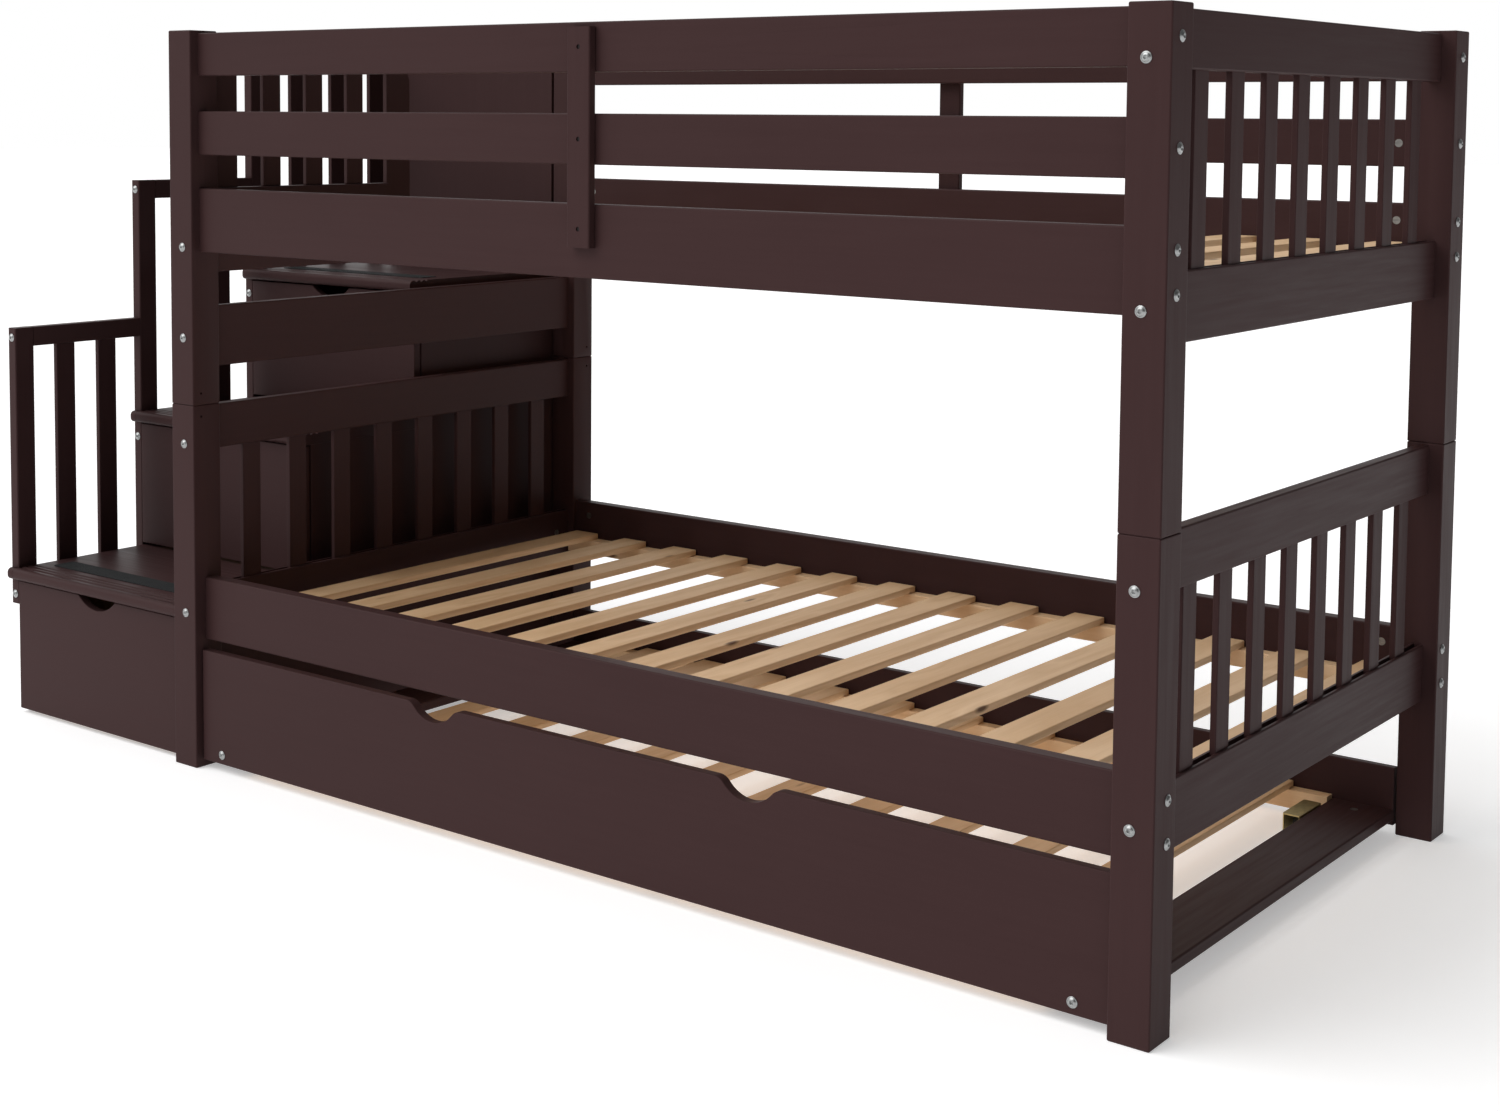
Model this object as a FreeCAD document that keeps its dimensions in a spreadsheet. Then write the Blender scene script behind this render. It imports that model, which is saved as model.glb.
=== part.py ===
import FreeCAD, Part
import os
import re
import sys

# Twin-over-twin bunk bed with a storage staircase at its left end and a roll-out trundle.
# Millimetres, +Z up. Inside the script, places are measured from the outside bottom corner of
# the bed's front left post: X runs along the bed to the right, Y from the front to the back,
# and the staircase stands at negative X. Each sub-part is then shifted so that the origin of
# the finished model is on the floor, under the middle of the whole object.

doc = FreeCAD.newDocument("BunkBed")
sheet = doc.addObject("Spreadsheet::Sheet", "Sizes")

SIZES = {
    # bed frame
    "bed_length": "2050",
    "bed_width": "1150",
    "bed_height": "1405",
    "post_side": "64",
    "post_split": "698",
    "arris": "3",
    "pin_radius": "5",
    "pin_length": "80",
    "side_hole_inset": "19",
    "side_hole_level": "22",
    "side_hole_deep": "12",
    "side_hole_radius": "2.5",
    # rails that run along the bed
    "upper_rail_recess": "18",
    "upper_rail_thick": "24",
    "lower_rail_recess": "25",
    "lower_rail_thick": "28",
    "side_rail_tall": "120",
    "lower_rail_top": "367",
    "upper_rail_drop": "296",
    "guard_mid_drop": "151",
    "guard_mid_tall": "82",
    "guard_top_drop": "5",
    "guard_top_tall": "80",
    "stile_wide": "48",
    "stile_thick": "16",
    "stile_drop": "13",
    "stile_long": "353",
    # rails, slats and boards of the two ends
    "end_rail_recess": "25",
    "end_rail_thick": "22",
    "end_top_drop": "5",
    "end_top_tall": "82",
    "end_base_drop": "358",
    "end_base_tall": "99",
    "low_end_top": "694",
    "low_end_tall": "85",
    "low_base_top": "345",
    "low_base_tall": "100",
    "low_base_bolt_drop": "47",
    "end_slat_wide": "44",
    "end_slat_thick": "10",
    "end_slat_count": "8",
    "end_slat_tongue": "8",
    "tie_board_drop": "521",
    "tie_board_tall": "117",
    "left_guard_long": "526",
    "left_guard_foot_drop": "296",
    "jamb_wide": "66",
    "jamb_drop": "60",
    "jamb_corner": "28",
    "jamb_slat_count": "3",
    # slatted decks
    "deck_drop": "67",
    "deck_slat_wide": "64",
    "deck_slat_thick": "13",
    "deck_slat_count": "14",
    "deck_slat_ease": "2",
    "deck_margin": "70",
    "deck_clearance": "4",
    "ledger_wide": "28",
    "ledger_tall": "32",
    # staircase
    "stair_gap": "6",
    "stair_wide": "529",
    "stair_front": "20",
    "step_going": "315",
    "first_tread_top": "304",
    "step_rise": "296",
    "tread_thick": "24",
    "tread_nose": "14",
    "tread_side_nose": "17",
    "side_thick": "18",
    "back_thick": "12",
    "guard_back_drop": "13",
    "strip_wide": "50",
    "strip_thick": "1.5",
    "strip_setback": "72",
    "strip_end_gap": "40",
    # handrail on the staircase
    "handrail_thick": "25",
    "handrail_post_deep": "45",
    "handrail_first_top": "804",
    "handrail_step": "300",
    "handrail_rail_tall": "40",
    "handrail_foot_drop": "77",
    "handrail_slat_wide": "45",
    "handrail_slat_thick": "12",
    # drawers in the staircase
    "drawer_front_thick": "18",
    "drawer_side_gap": "2",
    "drawer_top_gap": "3",
    "drawer_foot_gap": "6",
    "drawer_floor_gap": "8",
    "drawer_case_gap": "2",
    "drawer_box_gap": "3",
    "drawer_board": "12",
    "drawer_base": "6",
    "drawer_box_tall": "190",
    "drawer_box_lift": "26",
    "drawer_box_rear_gap": "10",
    "top_drawer_long": "400",
    "runner_wide": "20",
    "runner_tall": "18",
    "runner_play": "0.5",
    "pull_wide": "118",
    "pull_deep": "25",
    # trundle
    "trundle_side_gap": "4",
    "trundle_front_recess": "13",
    "trundle_board": "18",
    "trundle_floor_gap": "16",
    "trundle_front_top": "229",
    "trundle_back_top": "119",
    "trundle_back_face": "1084",
    "trundle_end_wide": "110",
    "trundle_end_thick": "20",
    "trundle_end_lift": "24",
    "trundle_ledger_wide": "24",
    "trundle_ledger_top": "51",
    "trundle_slat_wide": "62",
    "trundle_slat_thick": "12",
    "trundle_slat_count": "10",
    "trundle_slat_left": "222",
    "trundle_slat_right": "180",
    "scoop_wide": "104",
    "scoop_deep": "29",
    "scoop_flare": "26",
    "scoop_spread": "340",
    # casters under the trundle
    "caster_long": "95",
    "caster_wide": "32",
    "caster_plate": "2.5",
    "caster_top": "46.5",
    "caster_skirt": "9",
    "caster_inset": "25",
    "wheel_radius": "22",
    "wheel_wide": "18",
    "wheel_round": "3",
    "axle_radius": "3",
    "axle_play": "0.08",
    # fasteners
    "bolt_radius": "3",
    "bolt_head_radius": "8.5",
    "bolt_head_tall": "4",
    "bolt_hole_play": "0.4",
    "bolt_reach": "50",
    "bolt_key": "4",
    "nut_radius": "7",
    "nut_setback": "38",
    "nut_past_axis": "6",
    "screw_radius": "2",
    "screw_head_radius": "3.6",
    "screw_head_tall": "3",
    "screw_length": "30",
    "screw_sink": "2",
    "screw_play": "0.2",
}

# Places that follow from the sizes above. Each is spelled out in full when it is used.
PLACES = {
    "centre_x": "(bed_length + bolt_head_tall - stair_gap - stair_wide - handrail_thick) / 2",
    "centre_y": "bed_width / 2",
    "upper_rail_top": "bed_height - upper_rail_drop",
    "guard_mid_top": "bed_height - guard_mid_drop",
    "guard_top_top": "bed_height - guard_top_drop",
    "stile_top": "bed_height - stile_drop",
    "end_top_top": "bed_height - end_top_drop",
    "end_base_top": "bed_height - end_base_drop",
    "tie_board_top": "bed_height - tie_board_drop",
    "left_guard_foot_top": "bed_height - left_guard_foot_drop",
    "jamb_top": "bed_height - jamb_drop",
    "guard_back_top": "bed_height - guard_back_drop",
    "stile_bottom": "bed_height - stile_drop - stile_long",
    "clear_long": "bed_length - 2 * post_side",
    "clear_wide": "bed_width - 2 * post_side",
    "right_inner": "bed_length - post_side",
    "back_inner": "bed_width - post_side",
    "upper_axis_y": "upper_rail_recess + upper_rail_thick / 2",
    "lower_axis_y": "lower_rail_recess + lower_rail_thick / 2",
    "end_axis_x": "end_rail_recess + end_rail_thick / 2",
    "stair_left": "-stair_gap - stair_wide",
    "stair_right": "-stair_gap",
    "rail_left": "stair_left - handrail_thick",
    "trundle_left": "post_side + trundle_side_gap",
    "trundle_long": "clear_long - 2 * trundle_side_gap",
    "trundle_inner_y": "trundle_front_recess + trundle_board",
    "ledger_inner_y": "trundle_inner_y + trundle_ledger_wide",
    "end_board_long": "trundle_back_face - trundle_inner_y",
}


def text(expression):
    """Write places out in terms of sizes, and point each size at its cell in the sheet."""
    def swap(match):
        word = match.group(0)
        if word in PLACES:
            return "(" + text(PLACES[word]) + ")"
        if word in SIZES:
            return "Sizes." + word
        return word
    return re.sub(r"[a-z_]+", swap, str(expression))


def value(expression):
    """The number, in millimetres, that an expression on the sheet gives now."""
    answer = sheet.evalExpression(text(expression))
    return float(getattr(answer, "Value", answer))


for row, (alias, number) in enumerate(SIZES.items(), 1):
    sheet.set("A%d" % row, alias)
    sheet.set("B%d" % row, number)
    sheet.setAlias("B%d" % row, alias)
doc.recompute()


# ---------------------------------------------------------------- making a sub-part
SUBPARTS = []


def body(label, subpart=True):
    """A PartDesign body whose features are placed in the bed's own coordinates."""
    made = doc.addObject("PartDesign::Body", label)
    made.Label = label
    made.setExpression("Placement.Base.x", text("-centre_x"))
    made.setExpression("Placement.Base.y", text("-centre_y"))
    if subpart:
        SUBPARTS.append(made)
    return made


def place(feature, corner):
    """Tie a feature's origin to a place in the bed's coordinates."""
    for axis, expression in zip("xyz", corner):
        feature.setExpression("Placement.Base." + axis, text(expression))


def block(owner, corner, size, cut=False):
    """A rectangular block, added to the body or cut from it."""
    kind = "PartDesign::SubtractiveBox" if cut else "PartDesign::AdditiveBox"
    made = owner.newObject(kind, owner.Name + "_block")
    for side, expression in zip(("Length", "Width", "Height"), size):
        made.setExpression(side, text(expression))
    place(made, corner)
    return made


TURNS = {
    "x": FreeCAD.Rotation(FreeCAD.Vector(0, 1, 0), 90),
    "y": FreeCAD.Rotation(FreeCAD.Vector(1, 0, 0), -90),
    "z": FreeCAD.Rotation(),
}


def rod(owner, start, along, length, radius, cut=False):
    """A round rod, or a drilled hole, that starts at a place and runs along +X, +Y or +Z."""
    kind = "PartDesign::SubtractiveCylinder" if cut else "PartDesign::AdditiveCylinder"
    made = owner.newObject(kind, owner.Name + "_rod")
    made.Placement = FreeCAD.Placement(FreeCAD.Vector(), TURNS[along])
    made.setExpression("Radius", text(radius))
    made.setExpression("Height", text(length))
    place(made, start)
    return made


def round_edges(owner, along, radius, keep=None):
    """Round the body's straight edges that run along the given axes."""
    doc.recompute()
    tip = owner.Tip
    names = []
    for number, edge in enumerate(tip.Shape.Edges, 1):
        if not isinstance(edge.Curve, Part.Line):
            continue
        run = edge.Vertexes[-1].Point - edge.Vertexes[0].Point
        run.normalize()
        parallel = any(abs(getattr(run, axis)) > 0.999 for axis in along)
        if parallel and (keep is None or keep(edge.CenterOfMass)):
            names.append("Edge%d" % number)
    made = owner.newObject("PartDesign::Fillet", owner.Name + "_round")
    made.Base = (tip, names)
    made.setExpression("Radius", text(radius))
    doc.recompute()
    return made


def repeat(owner, along, pitch, count):
    """Repeat the whole body, as made so far, in a row."""
    doc.recompute()
    made = owner.newObject("PartDesign::LinearPattern", owner.Name + "_row")
    made.TransformMode = "Whole shape"
    axes = {item.Role: item for item in owner.Origin.OriginFeatures}
    made.Direction = (axes[along.upper() + "_Axis"], [""])
    made.Mode = "Spacing"
    made.setExpression("Offset", text(pitch))
    made.setExpression("Occurrences", text(count))
    owner.Tip = made
    return made


def board(label, corner, size, along, radius="arris"):
    """One board of a single piece of wood, with the arrises along its length rounded."""
    made = body(label)
    block(made, corner, size)
    round_edges(made, along, radius)
    return made


def boards(label, pieces, along, radius="arris"):
    """Several like boards in one sub-part, each a solid of its own."""
    made = body(label)
    for corner, size in pieces:
        block(made, corner, size)
    round_edges(made, along, radius)
    return made


# ---------------------------------------------------------------- bolted joints
# A bolt passes through a post into the end of a rail, where a round barrel nut holds it.
BOLTS = []
NUTS = []


def step(start, along, distance):
    """The place at a distance from another along +X, -X, +Y or -Y."""
    moved = list(start)
    index = "xyz".index(along[1])
    moved[index] = "(%s) %s (%s)" % (start[index], along[0], distance)
    return tuple(moved)


def drill(owner, start, along, length, radius):
    """A hole that starts at a place and runs along a signed direction."""
    if along[0] == "-":
        start = step(start, along, length)
    rod(owner, start, along[1], length, radius, cut=True)


def bolt_joint(post, rail, seat, along, nut_from, half, through="post_side", kit=None):
    """Drill two pieces for one bolt and its barrel nut, and note where both fasteners go.

    The bolt passes through the first piece and into the end of the second. The nut goes in
    from the face of the second piece that lies at half its thickness from the bolt's axis.
    """
    bolts, nuts = kit or (BOLTS, NUTS)
    hole = "bolt_radius + bolt_hole_play"
    drill(post, seat, along, through, hole)
    drill(rail, step(seat, along, through), along, "bolt_reach", hole)
    nut_axis = step(seat, along, through + " + nut_setback")
    nut_mouth = step(nut_axis, nut_from, half)
    inwards = ("-" if nut_from[0] == "+" else "+") + nut_from[1]
    depth = half + " + nut_past_axis"
    drill(rail, nut_mouth, inwards, depth, "nut_radius")
    bolts.append((seat, along, through + " + bolt_reach"))
    nuts.append((nut_mouth, inwards, depth, nut_axis, along))


# ---------------------------------------------------------------- posts
# Each corner has a lower and an upper post, joined end to end by a steel pin.
CORNERS = {
    "front_left": ("0", "0"),
    "front_right": ("right_inner", "0"),
    "back_left": ("0", "back_inner"),
    "back_right": ("right_inner", "back_inner"),
}
posts = {}
for corner, (post_x, post_y) in CORNERS.items():
    axis_x = post_x + " + post_side / 2"
    axis_y = post_y + " + post_side / 2"
    lower = board("lower_post_" + corner, (post_x, post_y, "0"),
                  ("post_side", "post_side", "post_split"), "z")
    upper = board("upper_post_" + corner, (post_x, post_y, "post_split"),
                  ("post_side", "post_side", "bed_height - post_split"), "z")
    rod(lower, (axis_x, axis_y, "post_split - pin_length / 2"), "z", "pin_length / 2",
        "pin_radius", cut=True)
    rod(upper, (axis_x, axis_y, "post_split"), "z", "pin_length / 2", "pin_radius", cut=True)
    # a small blind hole above and below the joint, on the face that looks along the bed
    face_x, inwards = (post_x, "+x") if "right" in corner else (post_x + " + post_side", "-x")
    hole_y = post_y + (" + post_side - side_hole_inset" if "back" in corner else " + side_hole_inset")
    for post, z in ((lower, "post_split - side_hole_level"), (upper, "post_split + side_hole_level")):
        drill(post, (face_x, hole_y, z), inwards, "side_hole_deep", "side_hole_radius")
    posts["lower", corner] = lower
    posts["upper", corner] = upper

pins = body("post_pins")
for post_x, post_y in CORNERS.values():
    rod(pins, (post_x + " + post_side / 2", post_y + " + post_side / 2",
               "post_split - pin_length / 2"), "z", "pin_length", "pin_radius")

# ---------------------------------------------------------------- rails along the bed
front_y = "upper_rail_recess"
back_y = "bed_width - upper_rail_recess - upper_rail_thick"
low_front_y = "lower_rail_recess"
low_back_y = "bed_width - lower_rail_recess - lower_rail_thick"


def long_rail(label, y, thick, top, tall):
    """A rail from post to post along the bed."""
    return board(label, ("post_side", y, top + " - " + tall), ("clear_long", thick, tall), "x")


def guard_rails(label, y):
    """The two slim rails of a long guard, above the side rail."""
    return boards(label, [
        (("post_side", y, "guard_top_top - guard_top_tall"),
         ("clear_long", "upper_rail_thick", "guard_top_tall")),
        (("post_side", y, "guard_mid_top - guard_mid_tall"),
         ("clear_long", "upper_rail_thick", "guard_mid_tall")),
    ], "x")


front_upper = long_rail("front_upper_side_rail", front_y, "upper_rail_thick",
                        "upper_rail_top", "side_rail_tall")
back_upper = long_rail("back_upper_side_rail", back_y, "upper_rail_thick",
                       "upper_rail_top", "side_rail_tall")
front_lower = long_rail("front_lower_side_rail", low_front_y, "lower_rail_thick",
                        "lower_rail_top", "side_rail_tall")
back_lower = long_rail("back_lower_side_rail", low_back_y, "lower_rail_thick",
                       "lower_rail_top", "side_rail_tall")
front_guard = guard_rails("front_guard_rails", front_y)
back_guard = guard_rails("back_guard_rails", back_y)

# A stile on the outside of each guard ties its three rails together at mid length.
stile_x = "bed_length / 2 - stile_wide / 2"
stile_size = ("stile_wide", "stile_thick", "stile_top - stile_bottom")
stiles = boards("guard_stiles", [
    ((stile_x, "upper_rail_recess - stile_thick", "stile_bottom"), stile_size),
    ((stile_x, "bed_width - upper_rail_recess", "stile_bottom"), stile_size),
], "z")

# ---------------------------------------------------------------- the two ends
left_x = "end_rail_recess"
right_x = "bed_length - end_rail_recess - end_rail_thick"
left_slat_x = "end_axis_x - end_slat_thick / 2"
right_slat_x = "bed_length - end_axis_x - end_slat_thick / 2"


def end_rails(label, x, levels):
    """Rails from the front post to the back post, given as (top, height) pairs."""
    return boards(label, [
        ((x, "post_side", top + " - " + tall), ("end_rail_thick", "clear_wide", tall))
        for top, tall in levels
    ], "y")


def slat_row(label, x, first_y, pitch, count, foot, head):
    """Upright slats whose ends sit in short grooves in the rails."""
    made = body(label)
    block(made, (x, first_y, foot + " - end_slat_tongue"),
          ("end_slat_thick", "end_slat_wide", head + " - (" + foot + ") + 2 * end_slat_tongue"))
    round_edges(made, "z", "deck_slat_ease")
    repeat(made, "y", pitch, count)
    return made


def groove(rail, x, y, z, long_y):
    """The groove in a rail's edge that holds the ends of a row of slats."""
    block(rail, (x, y, z), ("end_slat_thick", long_y, "end_slat_tongue"), cut=True)


end_gap = "((clear_wide - end_slat_count * end_slat_wide) / (end_slat_count + 1))"
right_upper = end_rails("right_upper_rails", right_x,
                        [("end_top_top", "end_top_tall"), ("end_base_top", "end_base_tall")])
right_lower = end_rails("right_lower_rails", right_x,
                        [("low_end_top", "low_end_tall"), ("low_base_top", "low_base_tall")])
left_lower = end_rails("left_lower_rails", left_x,
                       [("low_end_top", "low_end_tall"), ("low_base_top", "low_base_tall")])
for rails, slat_x, label, foot, head in (
        (right_upper, right_slat_x, "right_upper_slats", "end_base_top",
         "end_top_top - end_top_tall"),
        (right_lower, right_slat_x, "right_lower_slats", "low_base_top",
         "low_end_top - low_end_tall"),
        (left_lower, left_slat_x, "left_lower_slats", "low_base_top",
         "low_end_top - low_end_tall")):
    slat_row(label, slat_x, "post_side + " + end_gap, "end_slat_wide + " + end_gap,
             "end_slat_count", foot, head)
    groove(rails, slat_x, "post_side", foot + " - end_slat_tongue", "clear_wide")
    groove(rails, slat_x, "post_side", head, "clear_wide")


def end_board(label, top, tall):
    """One board between the left posts, in its own body."""
    made = body(label, subpart=False)
    block(made, (left_x, "post_side", top + " - " + tall), ("end_rail_thick", "clear_wide", tall))
    round_edges(made, "y", "arris")
    return made


tie_board = end_board("left_tie_board", "tie_board_top", "tie_board_tall")
left_base = end_board("left_base_rail", "end_base_top", "end_base_tall")

# The upper left end is guarded only over its front part. The rest is the way in from the
# stairs, so the guard there ends in a jamb with a rounded top corner.
guard_end_y = "post_side + left_guard_long"
left_guard = body("left_guard_rails", subpart=False)
block(left_guard, (left_x, "post_side", "end_base_top"),
      ("end_rail_thick", "left_guard_long - jamb_wide", "left_guard_foot_top - end_base_top"))
block(left_guard, (left_x, "post_side", "jamb_top"),
      ("end_rail_thick", "left_guard_long - jamb_corner", "end_top_top - jamb_top"))
round_edges(left_guard, "y", "arris")
left_upper = doc.addObject("Part::Compound", "left_upper_rails")
left_upper.Label = "left_upper_rails"
left_upper.Links = [tie_board, left_base, left_guard]
SUBPARTS.append(left_upper)
jambs = body("left_guard_jambs")
block(jambs, (left_slat_x, "post_side", "left_guard_foot_top"),
      ("end_slat_thick", "jamb_wide", "jamb_top - left_guard_foot_top"))
block(jambs, (left_slat_x, guard_end_y + " - jamb_wide", "end_base_top"),
      ("end_slat_thick", "jamb_wide", "jamb_top - end_base_top"))
jamb_edge = value(guard_end_y)
jamb_head = value("jamb_top")
round_edges(jambs, "x", "jamb_corner",
            lambda spot: abs(spot.y - jamb_edge) < 1 and abs(spot.z - jamb_head) < 1)

jamb_clear = "(left_guard_long - 2 * jamb_wide)"
jamb_gap = ("((" + jamb_clear + " - jamb_slat_count * end_slat_wide)"
            " / (jamb_slat_count + 1))")
guard_slats = body("left_guard_slats")
block(guard_slats, (left_slat_x, "post_side + jamb_wide + " + jamb_gap, "left_guard_foot_top"),
      ("end_slat_thick", "end_slat_wide", "jamb_top - left_guard_foot_top"))
round_edges(guard_slats, "z", "deck_slat_ease")
repeat(guard_slats, "y", "end_slat_wide + " + jamb_gap, "jamb_slat_count")

# ---------------------------------------------------------------- slatted decks
upper_inner = "upper_rail_recess + upper_rail_thick"
lower_inner = "lower_rail_recess + lower_rail_thick"


def deck(label, inner, rail_top):
    """A row of slats across the bed, lying loose between the side rails."""
    made = body(label)
    block(made, ("deck_margin", inner + " + deck_clearance",
                 rail_top + " - deck_drop - deck_slat_thick"),
          ("deck_slat_wide", "bed_width - 2 * (" + inner + " + deck_clearance)",
           "deck_slat_thick"))
    round_edges(made, "xyz", "deck_slat_ease")
    repeat(made, "x", "(bed_length - 2 * deck_margin - deck_slat_wide) / (deck_slat_count - 1)",
           "deck_slat_count")
    return made


def ledger_pair(inner, rail_top):
    """The two pine strips, on the inner faces of the side rails, that carry a deck."""
    z = rail_top + " - deck_drop - deck_slat_thick - ledger_tall"
    size = ("clear_long", "ledger_wide", "ledger_tall")
    return [(("post_side", inner, z), size),
            (("post_side", "bed_width - (" + inner + ") - ledger_wide", z), size)]


deck("upper_slats", upper_inner, "upper_rail_top")
deck("lower_slats", lower_inner, "lower_rail_top")
boards("slat_ledgers", ledger_pair(upper_inner, "upper_rail_top")
       + ledger_pair(lower_inner, "lower_rail_top"), "x", "deck_slat_ease")

# ---------------------------------------------------------------- bolts of the bed frame
# Long rails are bolted through the posts' outer end faces, end rails through their front and
# back faces. The levels differ, so that the bolts pass clear of each other in the post.
SIDE_JOINTS = (
    ("upper", front_guard, back_guard, "upper_axis_y", "guard_top_top - guard_top_tall / 2"),
    ("upper", front_guard, back_guard, "upper_axis_y", "guard_mid_top - guard_mid_tall / 2"),
    ("upper", front_upper, back_upper, "upper_axis_y", "upper_rail_top - side_rail_tall / 4"),
    ("upper", front_upper, back_upper, "upper_axis_y", "upper_rail_top - 3 * side_rail_tall / 4"),
    ("lower", front_lower, back_lower, "lower_axis_y", "lower_rail_top - side_rail_tall / 4"),
    ("lower", front_lower, back_lower, "lower_axis_y", "lower_rail_top - 3 * side_rail_tall / 4"),
)
for level, front_rail, back_rail, axis_y, z in SIDE_JOINTS:
    for side, rail, y, inside in (("front", front_rail, axis_y, "+y"),
                                  ("back", back_rail, "bed_width - (" + axis_y + ")", "-y")):
        half = level + "_rail_thick / 2"
        bolt_joint(posts[level, side + "_left"], rail, ("0", y, z), "+x", inside, half)
        bolt_joint(posts[level, side + "_right"], rail, ("bed_length", y, z), "-x", inside, half)

END_JOINTS = (
    ("left", "upper", left_base, "+x", "end_base_top - end_base_tall / 2"),
    ("left", "upper", tie_board, "-x", "tie_board_top - tie_board_tall / 2"),
    ("left", "lower", left_lower, "-x", "low_end_top - 5 * low_end_tall / 6"),
    ("left", "lower", left_lower, "+x", "low_base_top - low_base_bolt_drop"),
    ("right", "upper", right_upper, "-x", "end_top_top - 5 * end_top_tall / 6"),
    ("right", "upper", right_upper, "-x", "end_base_top - end_base_tall / 2"),
    ("right", "lower", right_lower, "-x", "low_end_top - 5 * low_end_tall / 6"),
    ("right", "lower", right_lower, "-x", "low_base_top - low_base_bolt_drop"),
)
for end, level, rail, nut_side, z in END_JOINTS:
    x = "end_axis_x" if end == "left" else "bed_length - (end_axis_x)"
    half = "end_rail_thick / 2"
    bolt_joint(posts[level, "front_" + end], rail, (x, "0", z), "+y", nut_side, half)
    bolt_joint(posts[level, "back_" + end], rail, (x, "bed_width", z), "-y", nut_side, half)

# ---------------------------------------------------------------- staircase carcass
STEPS = (1, 2, 3)


def front_of(number):
    """Y of the face of a step's drawer front."""
    return "stair_front + %d * step_going" % (number - 1)


def top_of(number):
    """Height of a tread's upper face."""
    return "first_tread_top + %d * step_rise" % (number - 1)


def case_of(number):
    """Y of the front edge of a step's side boards, just behind its drawer front."""
    return front_of(number) + " + drawer_front_thick + drawer_case_gap"


def side_boards(label, x):
    """The side of the staircase: one board under each tread, from the floor up."""
    pieces = []
    for number in STEPS:
        start = case_of(number)
        end = case_of(number + 1) if number < 3 else "back_inner"
        pieces.append(((x, start, "0"), ("side_thick", end + " - (" + start + ")",
                                         top_of(number) + " - tread_thick")))
    return boards(label, pieces, "z", "deck_slat_ease / 2")


side_boards("stair_left_side", "stair_left")
side_boards("stair_right_side", "stair_right - side_thick")

board("stair_corner_post", ("stair_left", "back_inner", "0"),
      ("post_side", "post_side", "bed_height"), "z")
back_size = "stair_wide - post_side"
board("stair_back_panel", ("stair_left + post_side", "back_inner", "0"),
      (back_size, "back_thick", top_of(3) + " - tread_thick"), "x", "deck_slat_ease / 2")
board("stair_back_guard", ("stair_left + post_side", "back_inner", top_of(3) + " - tread_thick"),
      (back_size, "back_thick", "guard_back_top - (" + top_of(3) + " - tread_thick)"), "x")

# The treads overhang the drawer fronts. Their nosing also passes in front of the handrail
# post on the left. The top tread ends against the corner post and the back panels.
treads = body("stair_treads")
for number in STEPS:
    under = top_of(number) + " - tread_thick"
    nose_y = front_of(number) + " - tread_nose"
    end = case_of(number + 1) if number < 3 else "back_inner"
    block(treads, ("stair_left", nose_y, under),
          ("stair_wide", end + " - (" + nose_y + ")", "tread_thick"))
    block(treads, ("stair_left - tread_side_nose", nose_y, under),
          ("tread_side_nose", "tread_nose", "tread_thick"))
nose_fronts = [value(front_of(number) + " - tread_nose") for number in STEPS]
round_edges(treads, "x", "tread_thick / 2 - 2",
            lambda spot: any(abs(spot.y - nose) < 1 for nose in nose_fronts))

strips = body("anti_slip_strips")
block(strips, ("stair_left + strip_end_gap",
               front_of(1) + " - tread_nose + strip_setback", top_of(1)),
      ("stair_wide - 2 * strip_end_gap", "strip_wide", "strip_thick"))
for number in STEPS[1:]:
    block(strips, ("stair_left + strip_end_gap",
                   front_of(number) + " - tread_nose + strip_setback", top_of(number)),
          ("stair_wide - 2 * strip_end_gap", "strip_wide", "strip_thick"))

# ---------------------------------------------------------------- handrail
def rail_post_y(number):
    """Y of a handrail post's front face."""
    return front_of(number) + " + drawer_case_gap"


def rail_top(number):
    """Height of the top of a handrail section."""
    return "handrail_first_top + %d * handrail_step" % (number - 1)


def rail_foot(number):
    """Height of the bottom of a handrail section, below its tread."""
    return top_of(number) + " - handrail_foot_drop"


HANDRAIL_SLATS = {1: 2, 2: 2, 3: 3}
post_pieces = []
rail_pieces = []
for number in STEPS:
    foot = rail_foot(max(1, number - 1))
    post_pieces.append((("rail_left", rail_post_y(number), foot),
                        ("handrail_thick", "handrail_post_deep",
                         rail_top(number) + " - (" + foot + ")")))
    start = rail_post_y(number) + " + handrail_post_deep"
    end = rail_post_y(number + 1) if number < 3 else "bed_width"
    run = "(" + end + " - (" + start + "))"
    for z in (rail_top(number) + " - handrail_rail_tall", rail_foot(number)):
        rail_pieces.append((("rail_left", start, z),
                            ("handrail_thick", run, "handrail_rail_tall")))
boards("handrail_posts", post_pieces, "z")
boards("handrail_rails", rail_pieces, "y")

handrail_slats = body("handrail_slats")
for number in STEPS:
    count = HANDRAIL_SLATS[number]
    start = rail_post_y(number) + " + handrail_post_deep"
    end = rail_post_y(number + 1) if number < 3 else "bed_width"
    foot = rail_foot(number) + " + handrail_rail_tall"
    gap = "((%s - (%s) - %d * handrail_slat_wide) / %d)" % (end, start, count, count + 1)
    for place_in_row in range(count):
        y = "%s + %d * %s + %d * handrail_slat_wide" % (start, place_in_row + 1, gap, place_in_row)
        block(handrail_slats,
              ("rail_left + (handrail_thick - handrail_slat_thick) / 2", y, foot),
              ("handrail_slat_thick", "handrail_slat_wide",
               rail_top(number) + " - handrail_rail_tall - (" + foot + ")"))
round_edges(handrail_slats, "z", "deck_slat_ease")

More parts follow.
